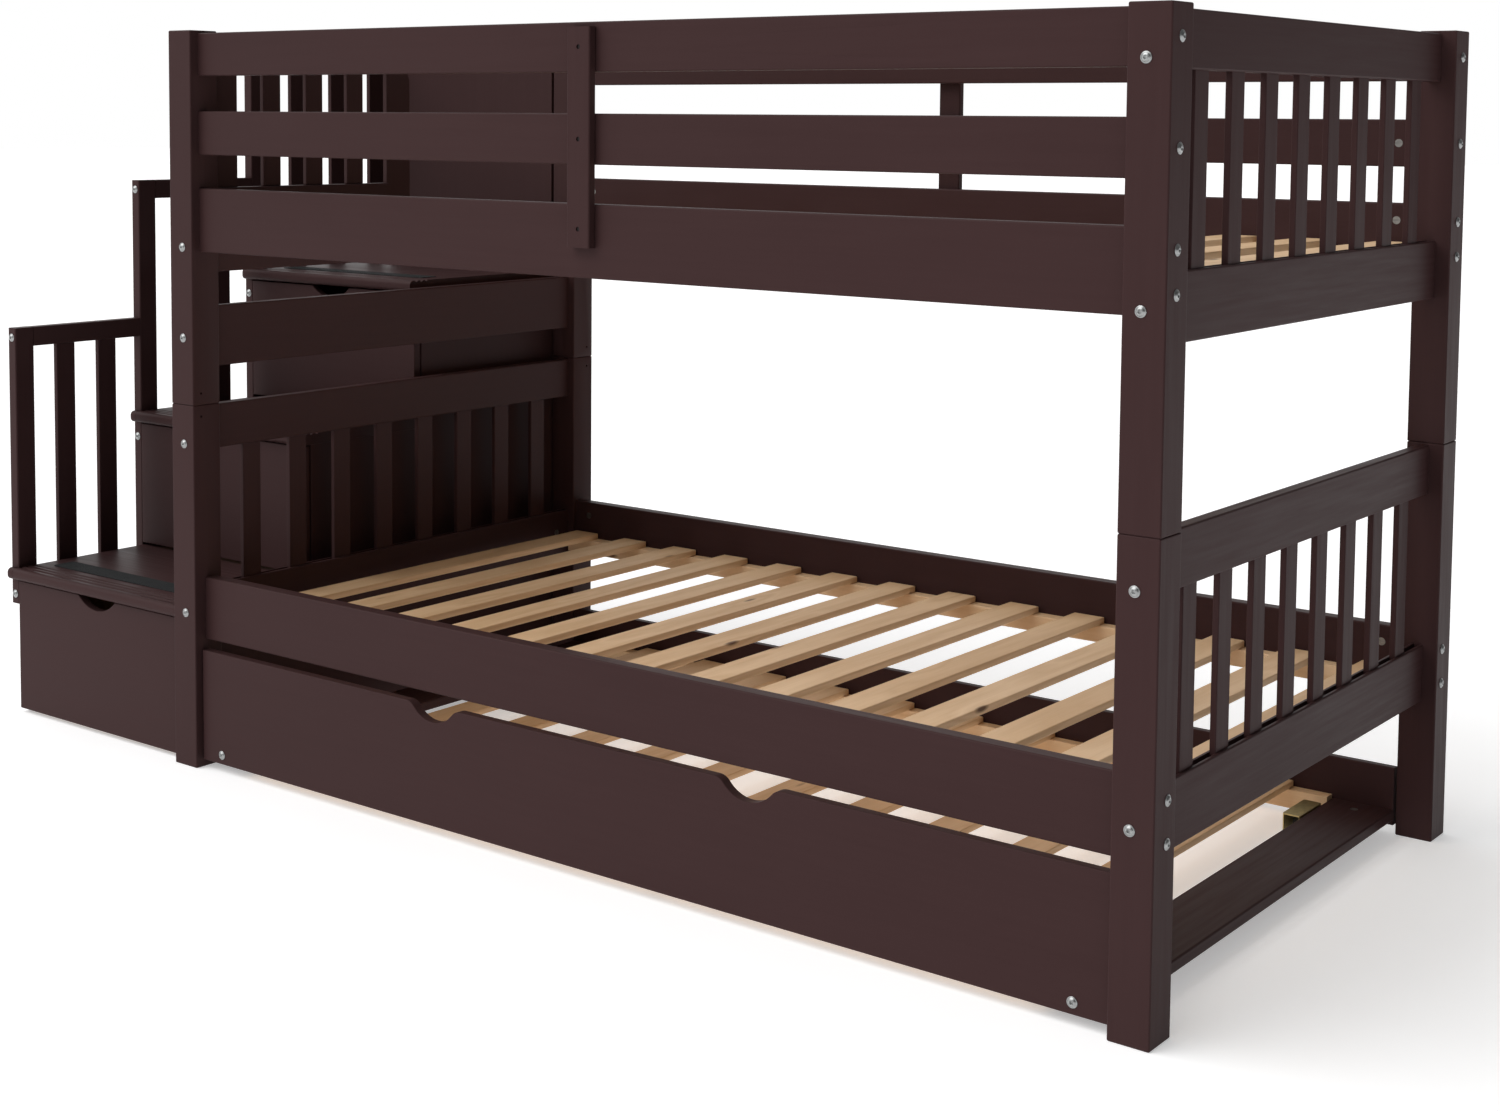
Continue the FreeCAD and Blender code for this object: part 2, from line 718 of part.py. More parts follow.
# ---------------------------------------------------------------- staircase drawers
box_wide = "(stair_wide - 2 * side_thick - 2 * drawer_box_gap)"
box_left = "(stair_left + side_thick + drawer_box_gap)"
runner_pieces = []
for number in STEPS:
    front_y = front_of(number)
    if number == 1:
        front_foot = "drawer_floor_gap"
    else:
        front_foot = top_of(number - 1) + " + drawer_foot_gap"
    front_head = top_of(number) + " - tread_thick - drawer_top_gap"
    front = body("drawer_%d_front" % number)
    block(front, ("stair_left + drawer_side_gap", front_y, front_foot),
          ("stair_wide - 2 * drawer_side_gap", "drawer_front_thick",
           front_head + " - (" + front_foot + ")"))
    round_edges(front, "xz", "deck_slat_ease")
    # half-moon finger pull in the top edge
    pull_radius = "((pull_wide / 2) * (pull_wide / 2) + pull_deep * pull_deep) / (2 * pull_deep)"
    rod(front, ("stair_left + stair_wide / 2", front_y,
                front_head + " - pull_deep + " + pull_radius), "y", "drawer_front_thick",
        pull_radius, cut=True)

    box_foot = front_foot + " + drawer_box_lift"
    box_y = front_y + " + drawer_front_thick"
    if number < 3:
        box_long = "(step_going - drawer_front_thick - drawer_box_rear_gap)"
    else:
        box_long = "top_drawer_long"
    inner_left = box_left + " + drawer_board"
    inner_wide = box_wide + " - 2 * drawer_board"
    boards("drawer_%d_box" % number, [
        ((box_left, box_y, box_foot), ("drawer_board", box_long, "drawer_box_tall")),
        ((box_left + " + " + box_wide + " - drawer_board", box_y, box_foot),
         ("drawer_board", box_long, "drawer_box_tall")),
        ((inner_left, box_y + " + " + box_long + " - drawer_board", box_foot),
         (inner_wide, "drawer_board", "drawer_box_tall")),
        ((inner_left, box_y, box_foot),
         (inner_wide, box_long + " - drawer_board", "drawer_base")),
    ], "z", "0.8")

    runner_y = case_of(number)
    runner_long = box_long
    runner_z = box_foot + " - runner_play - runner_tall"
    for x in ("stair_left + side_thick", "stair_right - side_thick - runner_wide"):
        runner_pieces.append(((x, runner_y, runner_z), ("runner_wide", runner_long, "runner_tall")))
boards("drawer_runners", runner_pieces, "y", "deck_slat_ease")

# ---------------------------------------------------------------- trundle
trundle_front = body("trundle_front")
block(trundle_front, ("trundle_left", "trundle_front_recess", "trundle_floor_gap"),
      ("trundle_long", "trundle_board", "trundle_front_top - trundle_floor_gap"))
# two hand scoops in the top edge, with their corners eased into it
scoop_radius = ("((scoop_wide / 2) * (scoop_wide / 2) + scoop_deep * scoop_deep)"
                " / (2 * scoop_deep)")
for side in ("-", "+"):
    rod(trundle_front, ("bed_length / 2 " + side + " scoop_spread", "trundle_front_recess",
                        "trundle_front_top - scoop_deep + " + scoop_radius), "y",
        "trundle_board", scoop_radius, cut=True)
top_edge = value("trundle_front_top")
middle_x = value("bed_length / 2")
lips = [middle_x + side * value("scoop_spread") + lip * value("scoop_wide") / 2
        for side in (-1, 1) for lip in (-1, 1)]
round_edges(trundle_front, "y", "scoop_flare",
            lambda spot: abs(spot.z - top_edge) < 2 and any(abs(spot.x - lip) < 3 for lip in lips))
round_edges(trundle_front, "xz", "deck_slat_ease")

trundle_back = board("trundle_back", ("trundle_left", "trundle_back_face", "trundle_floor_gap"),
      ("trundle_long", "trundle_board", "trundle_back_top - trundle_floor_gap"), "x")
end_board_size = ("trundle_end_wide", "end_board_long", "trundle_end_thick")
trundle_right = "trundle_left + trundle_long"
boards("trundle_end_boards", [
    (("trundle_left", "trundle_inner_y", "trundle_end_lift"), end_board_size),
    ((trundle_right + " - trundle_end_wide", "trundle_inner_y", "trundle_end_lift"),
     end_board_size),
], "y")
trundle_ledger_x = "trundle_left + trundle_end_wide"
trundle_ledger_size = ("trundle_long - 2 * trundle_end_wide", "trundle_ledger_wide",
                       "trundle_ledger_top - trundle_floor_gap")
boards("trundle_ledgers", [
    ((trundle_ledger_x, "trundle_inner_y", "trundle_floor_gap"), trundle_ledger_size),
    ((trundle_ledger_x, "trundle_back_face - trundle_ledger_wide", "trundle_floor_gap"),
     trundle_ledger_size),
], "x", "deck_slat_ease")
trundle_slats = body("trundle_slats")
block(trundle_slats, ("trundle_left + trundle_slat_left", "trundle_inner_y + deck_clearance",
                      "trundle_ledger_top"),
      ("trundle_slat_wide", "trundle_back_face - trundle_inner_y - 2 * deck_clearance",
       "trundle_slat_thick"))
round_edges(trundle_slats, "xyz", "deck_slat_ease")
repeat(trundle_slats, "x", "(trundle_long - trundle_slat_left - trundle_slat_right"
       " - trundle_slat_wide) / (trundle_slat_count - 1)", "trundle_slat_count")

# ---------------------------------------------------------------- casters
# Four low casters in channel brackets, screwed to the inner edges of the end boards.
caster_left = "(trundle_left + trundle_end_wide)"
caster_right = "(trundle_left + trundle_long - trundle_end_wide - caster_wide)"
caster_front = "(ledger_inner_y + caster_inset)"
caster_back = "(trundle_back_face - trundle_ledger_wide - caster_inset - caster_long)"
spread_x = caster_right + " - " + caster_left
spread_y = caster_back + " - " + caster_front

channel = body("caster_channels", subpart=False)
block(channel, (caster_left, caster_front, "caster_skirt"),
      ("caster_wide", "caster_long", "caster_top - caster_skirt"))
round_edges(channel, "z", "caster_plate")
block(channel, (caster_left + " + caster_plate", caster_front, "caster_skirt"),
      ("caster_wide - 2 * caster_plate", "caster_long", "caster_top - caster_skirt - caster_plate"),
      cut=True)
rod(channel, (caster_left, caster_front + " + caster_long / 2", "wheel_radius"), "x",
    "caster_wide", "axle_radius", cut=True)
repeat(channel, "x", spread_x, "2")
repeat(channel, "y", spread_y, "2")
axles = body("caster_axles", subpart=False)
rod(axles, (caster_left, caster_front + " + caster_long / 2", "wheel_radius"), "x",
    "caster_wide", "axle_radius")
repeat(axles, "x", spread_x, "2")
repeat(axles, "y", spread_y, "2")
brackets = doc.addObject("Part::Compound", "caster_brackets")
brackets.Label = "caster_brackets"
brackets.Links = [channel, axles]
SUBPARTS.append(brackets)

WHEELS = {
    "front_left": (caster_left, caster_front),
    "front_right": (caster_right, caster_front),
    "back_left": (caster_left, caster_back),
    "back_right": (caster_right, caster_back),
}
for corner, (x, y) in WHEELS.items():
    wheel = body("caster_wheel_" + corner)
    wheel_x = x + " + (caster_wide - wheel_wide) / 2"
    centre_y = y + " + caster_long / 2"
    rod(wheel, (wheel_x, centre_y, "wheel_radius"), "x", "wheel_wide", "wheel_radius")
    doc.recompute()
    rims = [number for number, edge in enumerate(wheel.Tip.Shape.Edges, 1)
            if isinstance(edge.Curve, Part.Circle)]
    solid_wheel = wheel.Tip
    tyre = wheel.newObject("PartDesign::Fillet", wheel.Name + "_tyre")
    tyre.Base = (solid_wheel, ["Edge%d" % number for number in rims])
    tyre.setExpression("Radius", text("wheel_round"))
    doc.recompute()
    rod(wheel, (wheel_x, centre_y, "wheel_radius"), "x", "wheel_wide",
        "axle_radius + axle_play", cut=True)

# ---------------------------------------------------------------- screws in the stiles
SCREWS = []
SCREW_LEVELS = (
    "guard_top_top - guard_top_tall / 2",
    "guard_mid_top - guard_mid_tall / 2",
    "upper_rail_top - side_rail_tall / 3",
)
for z in SCREW_LEVELS:
    for side, y, inwards in (("front", "upper_rail_recess - stile_thick", "+y"),
                             ("back", "bed_width - upper_rail_recess + stile_thick", "-y")):
        mouth = ("bed_length / 2", y, z)
        drill(stiles, mouth, inwards, "stile_thick", "screw_head_radius + screw_play")
        rails = {"front": (front_guard, front_upper), "back": (back_guard, back_upper)}[side]
        rail = rails[1] if z == SCREW_LEVELS[2] else rails[0]
        drill(rail, step(mouth, inwards, "stile_thick"), inwards,
              "screw_length + screw_sink - stile_thick", "screw_radius")
        SCREWS.append((step(mouth, inwards, "screw_sink"), inwards))

# ---------------------------------------------------------------- bolts of stairs and trundle
# Handrail posts are bolted to the rail ends behind them. The trundle's front and back are
# bolted into the ends of its two flat end boards, with barrel nuts let in from above.
handrail_posts = doc.getObject("handrail_posts")
handrail_rails = doc.getObject("handrail_rails")
SHORT_BOLTS = []
for number in STEPS:
    for z in (rail_top(number) + " - handrail_rail_tall / 2",
              rail_foot(number) + " + handrail_rail_tall / 2"):
        seat = ("rail_left + handrail_thick / 2", rail_post_y(number), z)
        hole = "bolt_radius + bolt_hole_play"
        drill(handrail_posts, seat, "+y", "handrail_post_deep", hole)
        drill(handrail_rails, step(seat, "+y", "handrail_post_deep"), "+y", "bolt_reach / 2", hole)
        SHORT_BOLTS.append((seat, "+y", "handrail_post_deep + bolt_reach / 2"))

TRUNDLE_BOLTS = []
TRUNDLE_NUTS = []
trundle_ends = doc.getObject("trundle_end_boards")
for x in ("trundle_left + trundle_end_wide / 2", trundle_right + " - trundle_end_wide / 2"):
    level = "trundle_end_lift + trundle_end_thick / 2"
    for panel, y, inwards in ((trundle_front, "trundle_front_recess", "+y"),
                              (trundle_back, "trundle_back_face + trundle_board", "-y")):
        bolt_joint(panel, trundle_ends, (x, y, level), inwards, "+z", "trundle_end_thick / 2",
                   "trundle_board", (TRUNDLE_BOLTS, TRUNDLE_NUTS))

# ---------------------------------------------------------------- fasteners
# Identical fasteners share a sub-part, as separate solids placed where they are used.
DIRECTIONS = {
    "+x": FreeCAD.Vector(1, 0, 0),
    "-x": FreeCAD.Vector(-1, 0, 0),
    "+y": FreeCAD.Vector(0, 1, 0),
    "-y": FreeCAD.Vector(0, -1, 0),
    "-z": FreeCAD.Vector(0, 0, -1),
}
UP = FreeCAD.Vector(0, 0, 1)


def bolt_shape(length):
    """A dome-headed bolt with a hexagon key recess, its shank along +Z from the seat."""
    radius = value("bolt_head_radius")
    tall = value("bolt_head_tall")
    dome = (radius * radius + tall * tall) / (2 * tall)
    ball = Part.makeSphere(dome, FreeCAD.Vector(0, 0, dome - tall))
    slab = Part.makeBox(3 * radius, 3 * radius, tall,
                        FreeCAD.Vector(-1.5 * radius, -1.5 * radius, -tall))
    head = ball.common(slab)
    corner = FreeCAD.Vector(value("bolt_key") / 3 ** 0.5, 0, -tall)
    outline = [FreeCAD.Rotation(UP, 60 * turn).multVec(corner) for turn in range(7)]
    key = Part.Face(Part.makePolygon(outline)).extrude(FreeCAD.Vector(0, 0, 0.6 * tall))
    shank = Part.makeCylinder(value("bolt_radius"), length)
    return head.cut(key).fuse(shank).removeSplitter()


def screw_shape():
    """A countersunk screw, its shank along +Z from the top of its head."""
    head = Part.makeCone(value("screw_head_radius"), value("screw_radius"),
                         value("screw_head_tall"))
    shank = Part.makeCylinder(value("screw_radius"), value("screw_length"))
    return head.fuse(shank).removeSplitter()


def located(shape, spot, along):
    """A copy of a shape moved to a place in the bed's coordinates, +Z turned to a direction."""
    copy = shape.copy()
    turn = FreeCAD.Rotation(UP, DIRECTIONS[along])
    centre = [value(expression) for expression in spot]
    copy.Placement = FreeCAD.Placement(FreeCAD.Vector(*centre), turn)
    return copy


def fasteners(label, shapes):
    """A sub-part made of separate fastener solids."""
    made = doc.addObject("Part::Feature", label)
    made.Label = label
    made.Shape = Part.Compound(shapes)
    made.Placement = FreeCAD.Placement(
        FreeCAD.Vector(value("-centre_x"), value("-centre_y"), 0), FreeCAD.Rotation())
    SUBPARTS.append(made)


def nut_shape(length):
    """A barrel nut, a plain round bar with a screwdriver slot in its outer face."""
    bar = Part.makeCylinder(value("nut_radius"), length)
    slot_wide = value("nut_radius") / 4
    slot = Part.makeBox(4 * value("nut_radius"), slot_wide, slot_wide,
                        FreeCAD.Vector(-2 * value("nut_radius"), -slot_wide / 2, 0))
    return bar.cut(slot)


bolt_solids = [located(bolt_shape(value(length)), seat, along)
               for seat, along, length in BOLTS + SHORT_BOLTS]
fasteners("frame_bolts", bolt_solids)
fasteners("trundle_bolts", [located(bolt_shape(value(length)), seat, along)
                            for seat, along, length in TRUNDLE_BOLTS])


def nut_solids(nuts):
    """Barrel nuts in place, each with the hole that its bolt runs through."""
    made = []
    for mouth, inwards, depth, axis_spot, along in nuts:
        backwards = ("-" if along[0] == "+" else "+") + along[1]
        hole = Part.makeCylinder(value("bolt_radius"), 4 * value("nut_radius"))
        start = step(axis_spot, backwards, "2 * nut_radius")
        nut = located(nut_shape(value(depth)), mouth, inwards)
        made.append(nut.cut(located(hole, start, along)))
    return made


fasteners("barrel_nuts", nut_solids(NUTS))
fasteners("trundle_nuts", nut_solids(TRUNDLE_NUTS))
fasteners("stile_screws", [located(screw_shape(), spot, along) for spot, along in SCREWS])

# ---------------------------------------------------------------- check and write
doc.recompute()
faults = []
for item in doc.Objects:
    if "Invalid" in item.State or "Error" in item.State:
        faults.append("%s: %s" % (item.Label, item.State))
for item in SUBPARTS:
    if item.Shape.isNull() or not item.Shape.isValid() or not item.Shape.Solids:
        faults.append("%s has no valid shape" % item.Label)
if faults:
    sys.exit("\n".join(faults))

os.makedirs("parts", exist_ok=True)
for item in SUBPARTS:
    item.Shape.exportStep("parts/" + item.Label + ".step")
whole = Part.Compound([item.Shape for item in SUBPARTS]).BoundBox
print("%d sub-parts, %d solids" % (len(SUBPARTS), sum(len(p.Shape.Solids) for p in SUBPARTS)))
print("size %.1f x %.1f x %.1f" % (whole.XLength, whole.YLength, whole.ZLength))
print("from %.1f %.1f %.1f to %.1f %.1f %.1f" % (whole.XMin, whole.YMin, whole.ZMin,
                                                 whole.XMax, whole.YMax, whole.ZMax))
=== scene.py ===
import math

import bmesh
import bpy
from mathutils import Matrix, Vector


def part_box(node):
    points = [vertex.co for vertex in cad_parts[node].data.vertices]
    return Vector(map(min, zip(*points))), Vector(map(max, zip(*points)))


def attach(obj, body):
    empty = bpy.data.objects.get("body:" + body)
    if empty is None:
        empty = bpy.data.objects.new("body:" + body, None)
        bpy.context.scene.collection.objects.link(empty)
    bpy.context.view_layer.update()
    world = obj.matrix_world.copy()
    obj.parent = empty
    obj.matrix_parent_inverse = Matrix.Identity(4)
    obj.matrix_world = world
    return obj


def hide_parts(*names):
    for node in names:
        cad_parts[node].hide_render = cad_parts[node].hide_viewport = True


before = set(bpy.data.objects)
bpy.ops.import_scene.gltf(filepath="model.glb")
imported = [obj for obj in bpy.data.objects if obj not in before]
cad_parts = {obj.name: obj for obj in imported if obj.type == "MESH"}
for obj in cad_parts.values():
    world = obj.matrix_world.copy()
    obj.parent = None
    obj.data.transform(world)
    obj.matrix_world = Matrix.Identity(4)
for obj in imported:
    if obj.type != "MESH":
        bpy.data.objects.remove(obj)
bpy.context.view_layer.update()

# ------------------------------------------------------------------ bed posts
# Eight square posts of hardwood, sprayed dark espresso brown. Each corner is a lower and an
# upper post stood end to end on a steel pin, so a fine groove shows where their eased ends
# meet. Each post has a small blind side hole near the joint.
POST_EASE = 0.0026
SIDE_HOLE_RADIUS = 0.0025
SIDE_HOLE_DEEP = 0.012
SIDE_HOLE_INSET = 0.019
SIDE_HOLE_LEVEL = 0.022
PAINT_DEEP = (0.0430, 0.0210, 0.0211, 1)
PAINT_WORN = (0.0485, 0.0243, 0.0243, 1)
PAINT_GRAIN = (1.4, 34, 34)
PAINT_CLOUDS = (1, 2.5, 2.5)
STREAK_SHARE = 0.62
PAINT_SHINE = 0.06
TURN_GRAIN = {
    "x": (0, 0, 0),
    "y": (0, 0, math.radians(-90)),
    "z": (0, math.radians(90), 0),
}


def node(tree, kind, **settings):
    """Add a shader or geometry node and set its properties."""
    made = tree.nodes.new(kind)
    for key, setting in settings.items():
        setattr(made, key, setting)
    return made


def grain_place(tree, along, stretch):
    """Where a point lies in the wood, with X along the grain and the other axes across it."""
    place = node(tree, "ShaderNodeTexCoord")
    turn = node(tree, "ShaderNodeMapping")
    turn.inputs["Rotation"].default_value = TURN_GRAIN[along]
    tree.links.new(place.outputs["Object"], turn.inputs["Vector"])
    squeeze = node(tree, "ShaderNodeMapping")
    squeeze.inputs["Scale"].default_value = stretch
    tree.links.new(turn.outputs["Vector"], squeeze.inputs["Vector"])
    return squeeze.outputs["Vector"]


def noise(tree, place, scale, detail=4.0, rough=0.55):
    """A cloudy pattern at one scale."""
    made = node(tree, "ShaderNodeTexNoise")
    made.inputs["Scale"].default_value = scale
    made.inputs["Detail"].default_value = detail
    made.inputs["Roughness"].default_value = rough
    tree.links.new(place, made.inputs["Vector"])
    return made.outputs["Fac"]


def ramp(tree, value, stops):
    """Turn a value into a colour by stops of (position, colour)."""
    made = node(tree, "ShaderNodeValToRGB")
    marks = made.color_ramp.elements
    while len(marks) < len(stops):
        marks.new(0.5)
    for mark, (position, colour) in zip(marks, stops):
        mark.position = position
        mark.color = colour
    tree.links.new(value, made.inputs["Fac"])
    return made.outputs["Color"]


def span(tree, value, low, high, start=0.0, end=1.0):
    """Stretch a value from one range to another."""
    made = node(tree, "ShaderNodeMapRange")
    made.inputs["From Min"].default_value = start
    made.inputs["From Max"].default_value = end
    made.inputs["To Min"].default_value = low
    made.inputs["To Max"].default_value = high
    tree.links.new(value, made.inputs["Value"])
    return made.outputs["Result"]


def bumped(tree, shader, value, strength, depth, under=None):
    """Give a surface relief from a value, on top of any relief it has already."""
    made = node(tree, "ShaderNodeBump")
    made.inputs["Strength"].default_value = strength
    made.inputs["Distance"].default_value = depth
    tree.links.new(value, made.inputs["Height"])
    if under is not None:
        tree.links.new(under, made.inputs["Normal"])
    tree.links.new(made.outputs["Normal"], shader.inputs["Normal"])
    return made.outputs["Normal"]


def finish(name):
    """A new material, with its node tree and its surface shader."""
    material = bpy.data.materials.new(name)
    material.use_nodes = True
    return material, material.node_tree, material.node_tree.nodes["Principled BSDF"]


def sprayed_paint(name, place, smooth, rough):
    """Espresso paint over wood grain. The place gives a point's position in the wood."""
    material, tree, shader = finish(name)
    streaks = noise(tree, place(tree, PAINT_GRAIN), 3.2, 7.0, 0.62)
    clouds = noise(tree, place(tree, PAINT_CLOUDS), 2.6, 3.0)
    blend = node(tree, "ShaderNodeMath", operation="MULTIPLY_ADD")
    blend.inputs[1].default_value = STREAK_SHARE
    tree.links.new(streaks, blend.inputs[0])
    tree.links.new(span(tree, clouds, 0.0, 1 - STREAK_SHARE), blend.inputs[2])
    colour = ramp(tree, blend.outputs["Value"], [(0.30, PAINT_DEEP), (0.70, PAINT_WORN)])
    tree.links.new(colour, shader.inputs["Base Color"])
    tree.links.new(span(tree, streaks, smooth, rough, 0.3, 0.7), shader.inputs["Roughness"])
    shader.inputs["Specular IOR Level"].default_value = PAINT_SHINE
    pores = bumped(tree, shader, streaks, 0.08, 0.0008)
    return material, tree, shader, pores


def espresso(along):
    """Sprayed espresso paint on wood whose grain runs along one axis."""
    material, tree, shader, pores = sprayed_paint(
        "espresso_paint_" + along,
        lambda tree, stretch: grain_place(tree, along, stretch), 0.36, 0.50)
    fine = noise(tree, grain_place(tree, along, (1, 1, 1)), 420, 2.0)
    bumped(tree, shader, fine, 0.05, 0.0004, pores)
    return material


def eased(bm, width, rounds=3):
    """Round every sharp edge of a mesh by the same width."""
    sharp = [e for e in bm.edges if e.is_manifold and e.calc_face_angle() > math.radians(25)]
    bmesh.ops.bevel(bm, geom=sharp, offset=width, segments=rounds, profile=0.5,
                    affect="EDGES", clamp_overlap=True)


def piece(name, bm, material):
    """Make an object from a mesh, shaded smooth over its eased edges and flat on its faces."""
    bmesh.ops.recalc_face_normals(bm, faces=bm.faces)
    for face in bm.faces:
        face.smooth = True
    mesh = bpy.data.meshes.new(name)
    bm.to_mesh(mesh)
    bm.free()
    mesh.materials.append(material)
    made = bpy.data.objects.new(name, mesh)
    bpy.context.scene.collection.objects.link(made)
    level = made.modifiers.new("level", "WEIGHTED_NORMAL")
    level.weight = 100
    level.keep_sharp = True
    return settled(made)


def settled(made):
    """Turn an object's modifiers into a plain mesh."""
    graph = bpy.context.evaluated_depsgraph_get()
    mesh = bpy.data.meshes.new_from_object(made.evaluated_get(graph), depsgraph=graph)
    made.modifiers.clear()
    old, made.data = made.data, mesh
    mesh.name = made.name
    if old.users == 0:
        bpy.data.meshes.remove(old)
    return made


def box_mesh(low, high):
    """A plain box between two corners."""
    bm = bmesh.new()
    bmesh.ops.create_cube(bm, size=1.0)
    for vert in bm.verts:
        vert.co = [l + (c + 0.5) * (h - l) for c, l, h in zip(vert.co, low, high)]
    return bm


def bore_side_hole(made, mouth):
    """Bore the blind side hole of a post, whose mouth is on one of its faces along the bed."""
    bore = bmesh.new()
    bmesh.ops.create_cone(bore, cap_ends=True, segments=24, radius1=SIDE_HOLE_RADIUS,
                          radius2=SIDE_HOLE_RADIUS, depth=2 * SIDE_HOLE_DEEP,
                          matrix=Matrix.Rotation(math.radians(90), 4, "Y"))
    bmesh.ops.translate(bore, verts=bore.verts, vec=mouth)
    drill_mesh = bpy.data.meshes.new("drill")
    bore.to_mesh(drill_mesh)
    bore.free()
    drill = bpy.data.objects.new("drill", drill_mesh)
    bpy.context.scene.collection.objects.link(drill)
    hole = made.modifiers.new("side hole", "BOOLEAN")
    hole.operation = "DIFFERENCE"
    hole.object = drill
    settled(made)
    bpy.data.objects.remove(drill)
    bpy.data.meshes.remove(drill_mesh)


paint = {along: espresso(along) for along in "xyz"}
for level in ("lower", "upper"):
    for corner in ("front_left", "front_right", "back_left", "back_right"):
        post = "%s_post_%s" % (level, corner)
        low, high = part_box(post)
        bm = box_mesh(low, high)
        eased(bm, POST_EASE)
        made = piece("turned_" + post, bm, paint["z"])
        bore_side_hole(made, (
            high.x if "left" in corner else low.x,
            low.y + SIDE_HOLE_INSET if "front" in corner else high.y - SIDE_HOLE_INSET,
            high.z - SIDE_HOLE_LEVEL if level == "lower" else low.z + SIDE_HOLE_LEVEL))
        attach(made, "frame")
        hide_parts(post)

# ------------------------------------------------------------------ rails and boards
# Side rails, guard rails, end rails and the tie board are planed boards with their long
# edges eased, sprayed the same espresso as the posts. They are bolted between the posts.


def coat(material, *names):
    """Give CAD nodes one finish in place of their plain one."""
    for name in names:
        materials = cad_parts[name].data.materials
        materials.clear()
        materials.append(material)


coat(paint["x"], "front_upper_side_rail", "back_upper_side_rail", "front_lower_side_rail",
     "back_lower_side_rail", "front_guard_rails", "back_guard_rails", "trundle_back")
coat(paint["y"], "right_upper_rails", "right_lower_rails", "left_lower_rails",
     "left_upper_rails", "handrail_rails", "trundle_end_boards")
coat(paint["z"], "guard_stiles", "left_guard_jambs", "handrail_posts", "stair_left_side",
     "stair_right_side", "stair_back_panel", "stair_back_guard")

# ------------------------------------------------------------------ upright slats
# Thin painted slats fill the two ends, the guard by the stairs and the handrail. Their ends
# sit in grooves in the rails. Each is cut from its own stock, so the grain differs a little.


def solids(name):
    """The lowest and highest corner of each separate solid in a CAD node."""
    bm = bmesh.new()
    bm.from_mesh(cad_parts[name].data)
    bmesh.ops.remove_doubles(bm, verts=bm.verts, dist=1e-6)
    found = []
    seen = set()
    for start in bm.verts:
        if start in seen:
            continue
        seen.add(start)
        group, edge = [start], [start]
        while edge:
            vert = edge.pop()
            for link in vert.link_edges:
                other = link.other_vert(vert)
                if other not in seen:
                    seen.add(other)
                    group.append(other)
                    edge.append(other)
        corners = [vert.co.copy() for vert in group]
        low = Vector([min(c[i] for c in corners) for i in range(3)])
        high = Vector([max(c[i] for c in corners) for i in range(3)])
        found.append((low, high, corners))
    bm.free()
    return sorted(found, key=lambda item: tuple(round(x, 4) for x in item[0]))


def grain_layer(bm, low, along):
    """Store where each point lies in its board: along the grain, across it and through it."""
    layer = bm.verts.layers.float_vector.new("grain")
    first = "xyz".index(along)
    for vert in bm.verts:
        local = vert.co - Vector(low)
        vert[layer] = (local[first], local[(first + 1) % 3], local[(first + 2) % 3])


def row_tree():
    """A tree that repeats one board in a straight row, each with grain of its own."""
    tree = bpy.data.node_groups.new("Row of boards", "GeometryNodeTree")
    tree.interface.new_socket("Board", in_out="INPUT", socket_type="NodeSocketGeometry")
    tree.interface.new_socket("Number", in_out="INPUT", socket_type="NodeSocketInt")
    tree.interface.new_socket("Pitch", in_out="INPUT", socket_type="NodeSocketVector")
    tree.interface.new_socket("Stock", in_out="INPUT", socket_type="NodeSocketInt")
    tree.interface.new_socket("Finish", in_out="INPUT", socket_type="NodeSocketMaterial")
    tree.interface.new_socket("Row", in_out="OUTPUT", socket_type="NodeSocketGeometry")
    given = node(tree, "NodeGroupInput")
    result = node(tree, "NodeGroupOutput")
    line = node(tree, "GeometryNodeMeshLine", mode="OFFSET")
    set_out = node(tree, "GeometryNodeInstanceOnPoints")
    offset = node(tree, "FunctionNodeRandomValue", data_type="FLOAT_VECTOR")
    offset.inputs[1].default_value = (7.0, 7.0, 7.0)
    mark = node(tree, "GeometryNodeStoreNamedAttribute", data_type="FLOAT_VECTOR",
                domain="INSTANCE")
    mark.inputs["Name"].default_value = "stock"
    whole = node(tree, "GeometryNodeRealizeInstances")
    grain = node(tree, "GeometryNodeInputNamedAttribute", data_type="FLOAT_VECTOR")
    grain.inputs["Name"].default_value = "grain"
    stock = node(tree, "GeometryNodeInputNamedAttribute", data_type="FLOAT_VECTOR")
    stock.inputs["Name"].default_value = "stock"
    total = node(tree, "ShaderNodeVectorMath", operation="ADD")
    shift = node(tree, "GeometryNodeStoreNamedAttribute", data_type="FLOAT_VECTOR",
                 domain="POINT")
    shift.inputs["Name"].default_value = "grain"
    dress = node(tree, "GeometryNodeSetMaterial")
    link = tree.links.new
    link(given.outputs["Number"], line.inputs["Count"])
    link(given.outputs["Pitch"], line.inputs["Offset"])
    link(line.outputs["Mesh"], set_out.inputs["Points"])
    link(given.outputs["Board"], set_out.inputs["Instance"])
    link(given.outputs["Stock"], offset.inputs["Seed"])
    link(set_out.outputs["Instances"], mark.inputs["Geometry"])
    link(offset.outputs[0], mark.inputs["Value"])
    link(mark.outputs["Geometry"], whole.inputs["Geometry"])
    link(grain.outputs["Attribute"], total.inputs[0])
    link(stock.outputs["Attribute"], total.inputs[1])
    link(whole.outputs["Geometry"], shift.inputs["Geometry"])
    link(total.outputs["Vector"], shift.inputs["Value"])
    link(shift.outputs["Geometry"], dress.inputs["Geometry"])
    link(given.outputs["Finish"], dress.inputs["Material"])
    link(dress.outputs["Geometry"], result.inputs["Row"])
    return tree


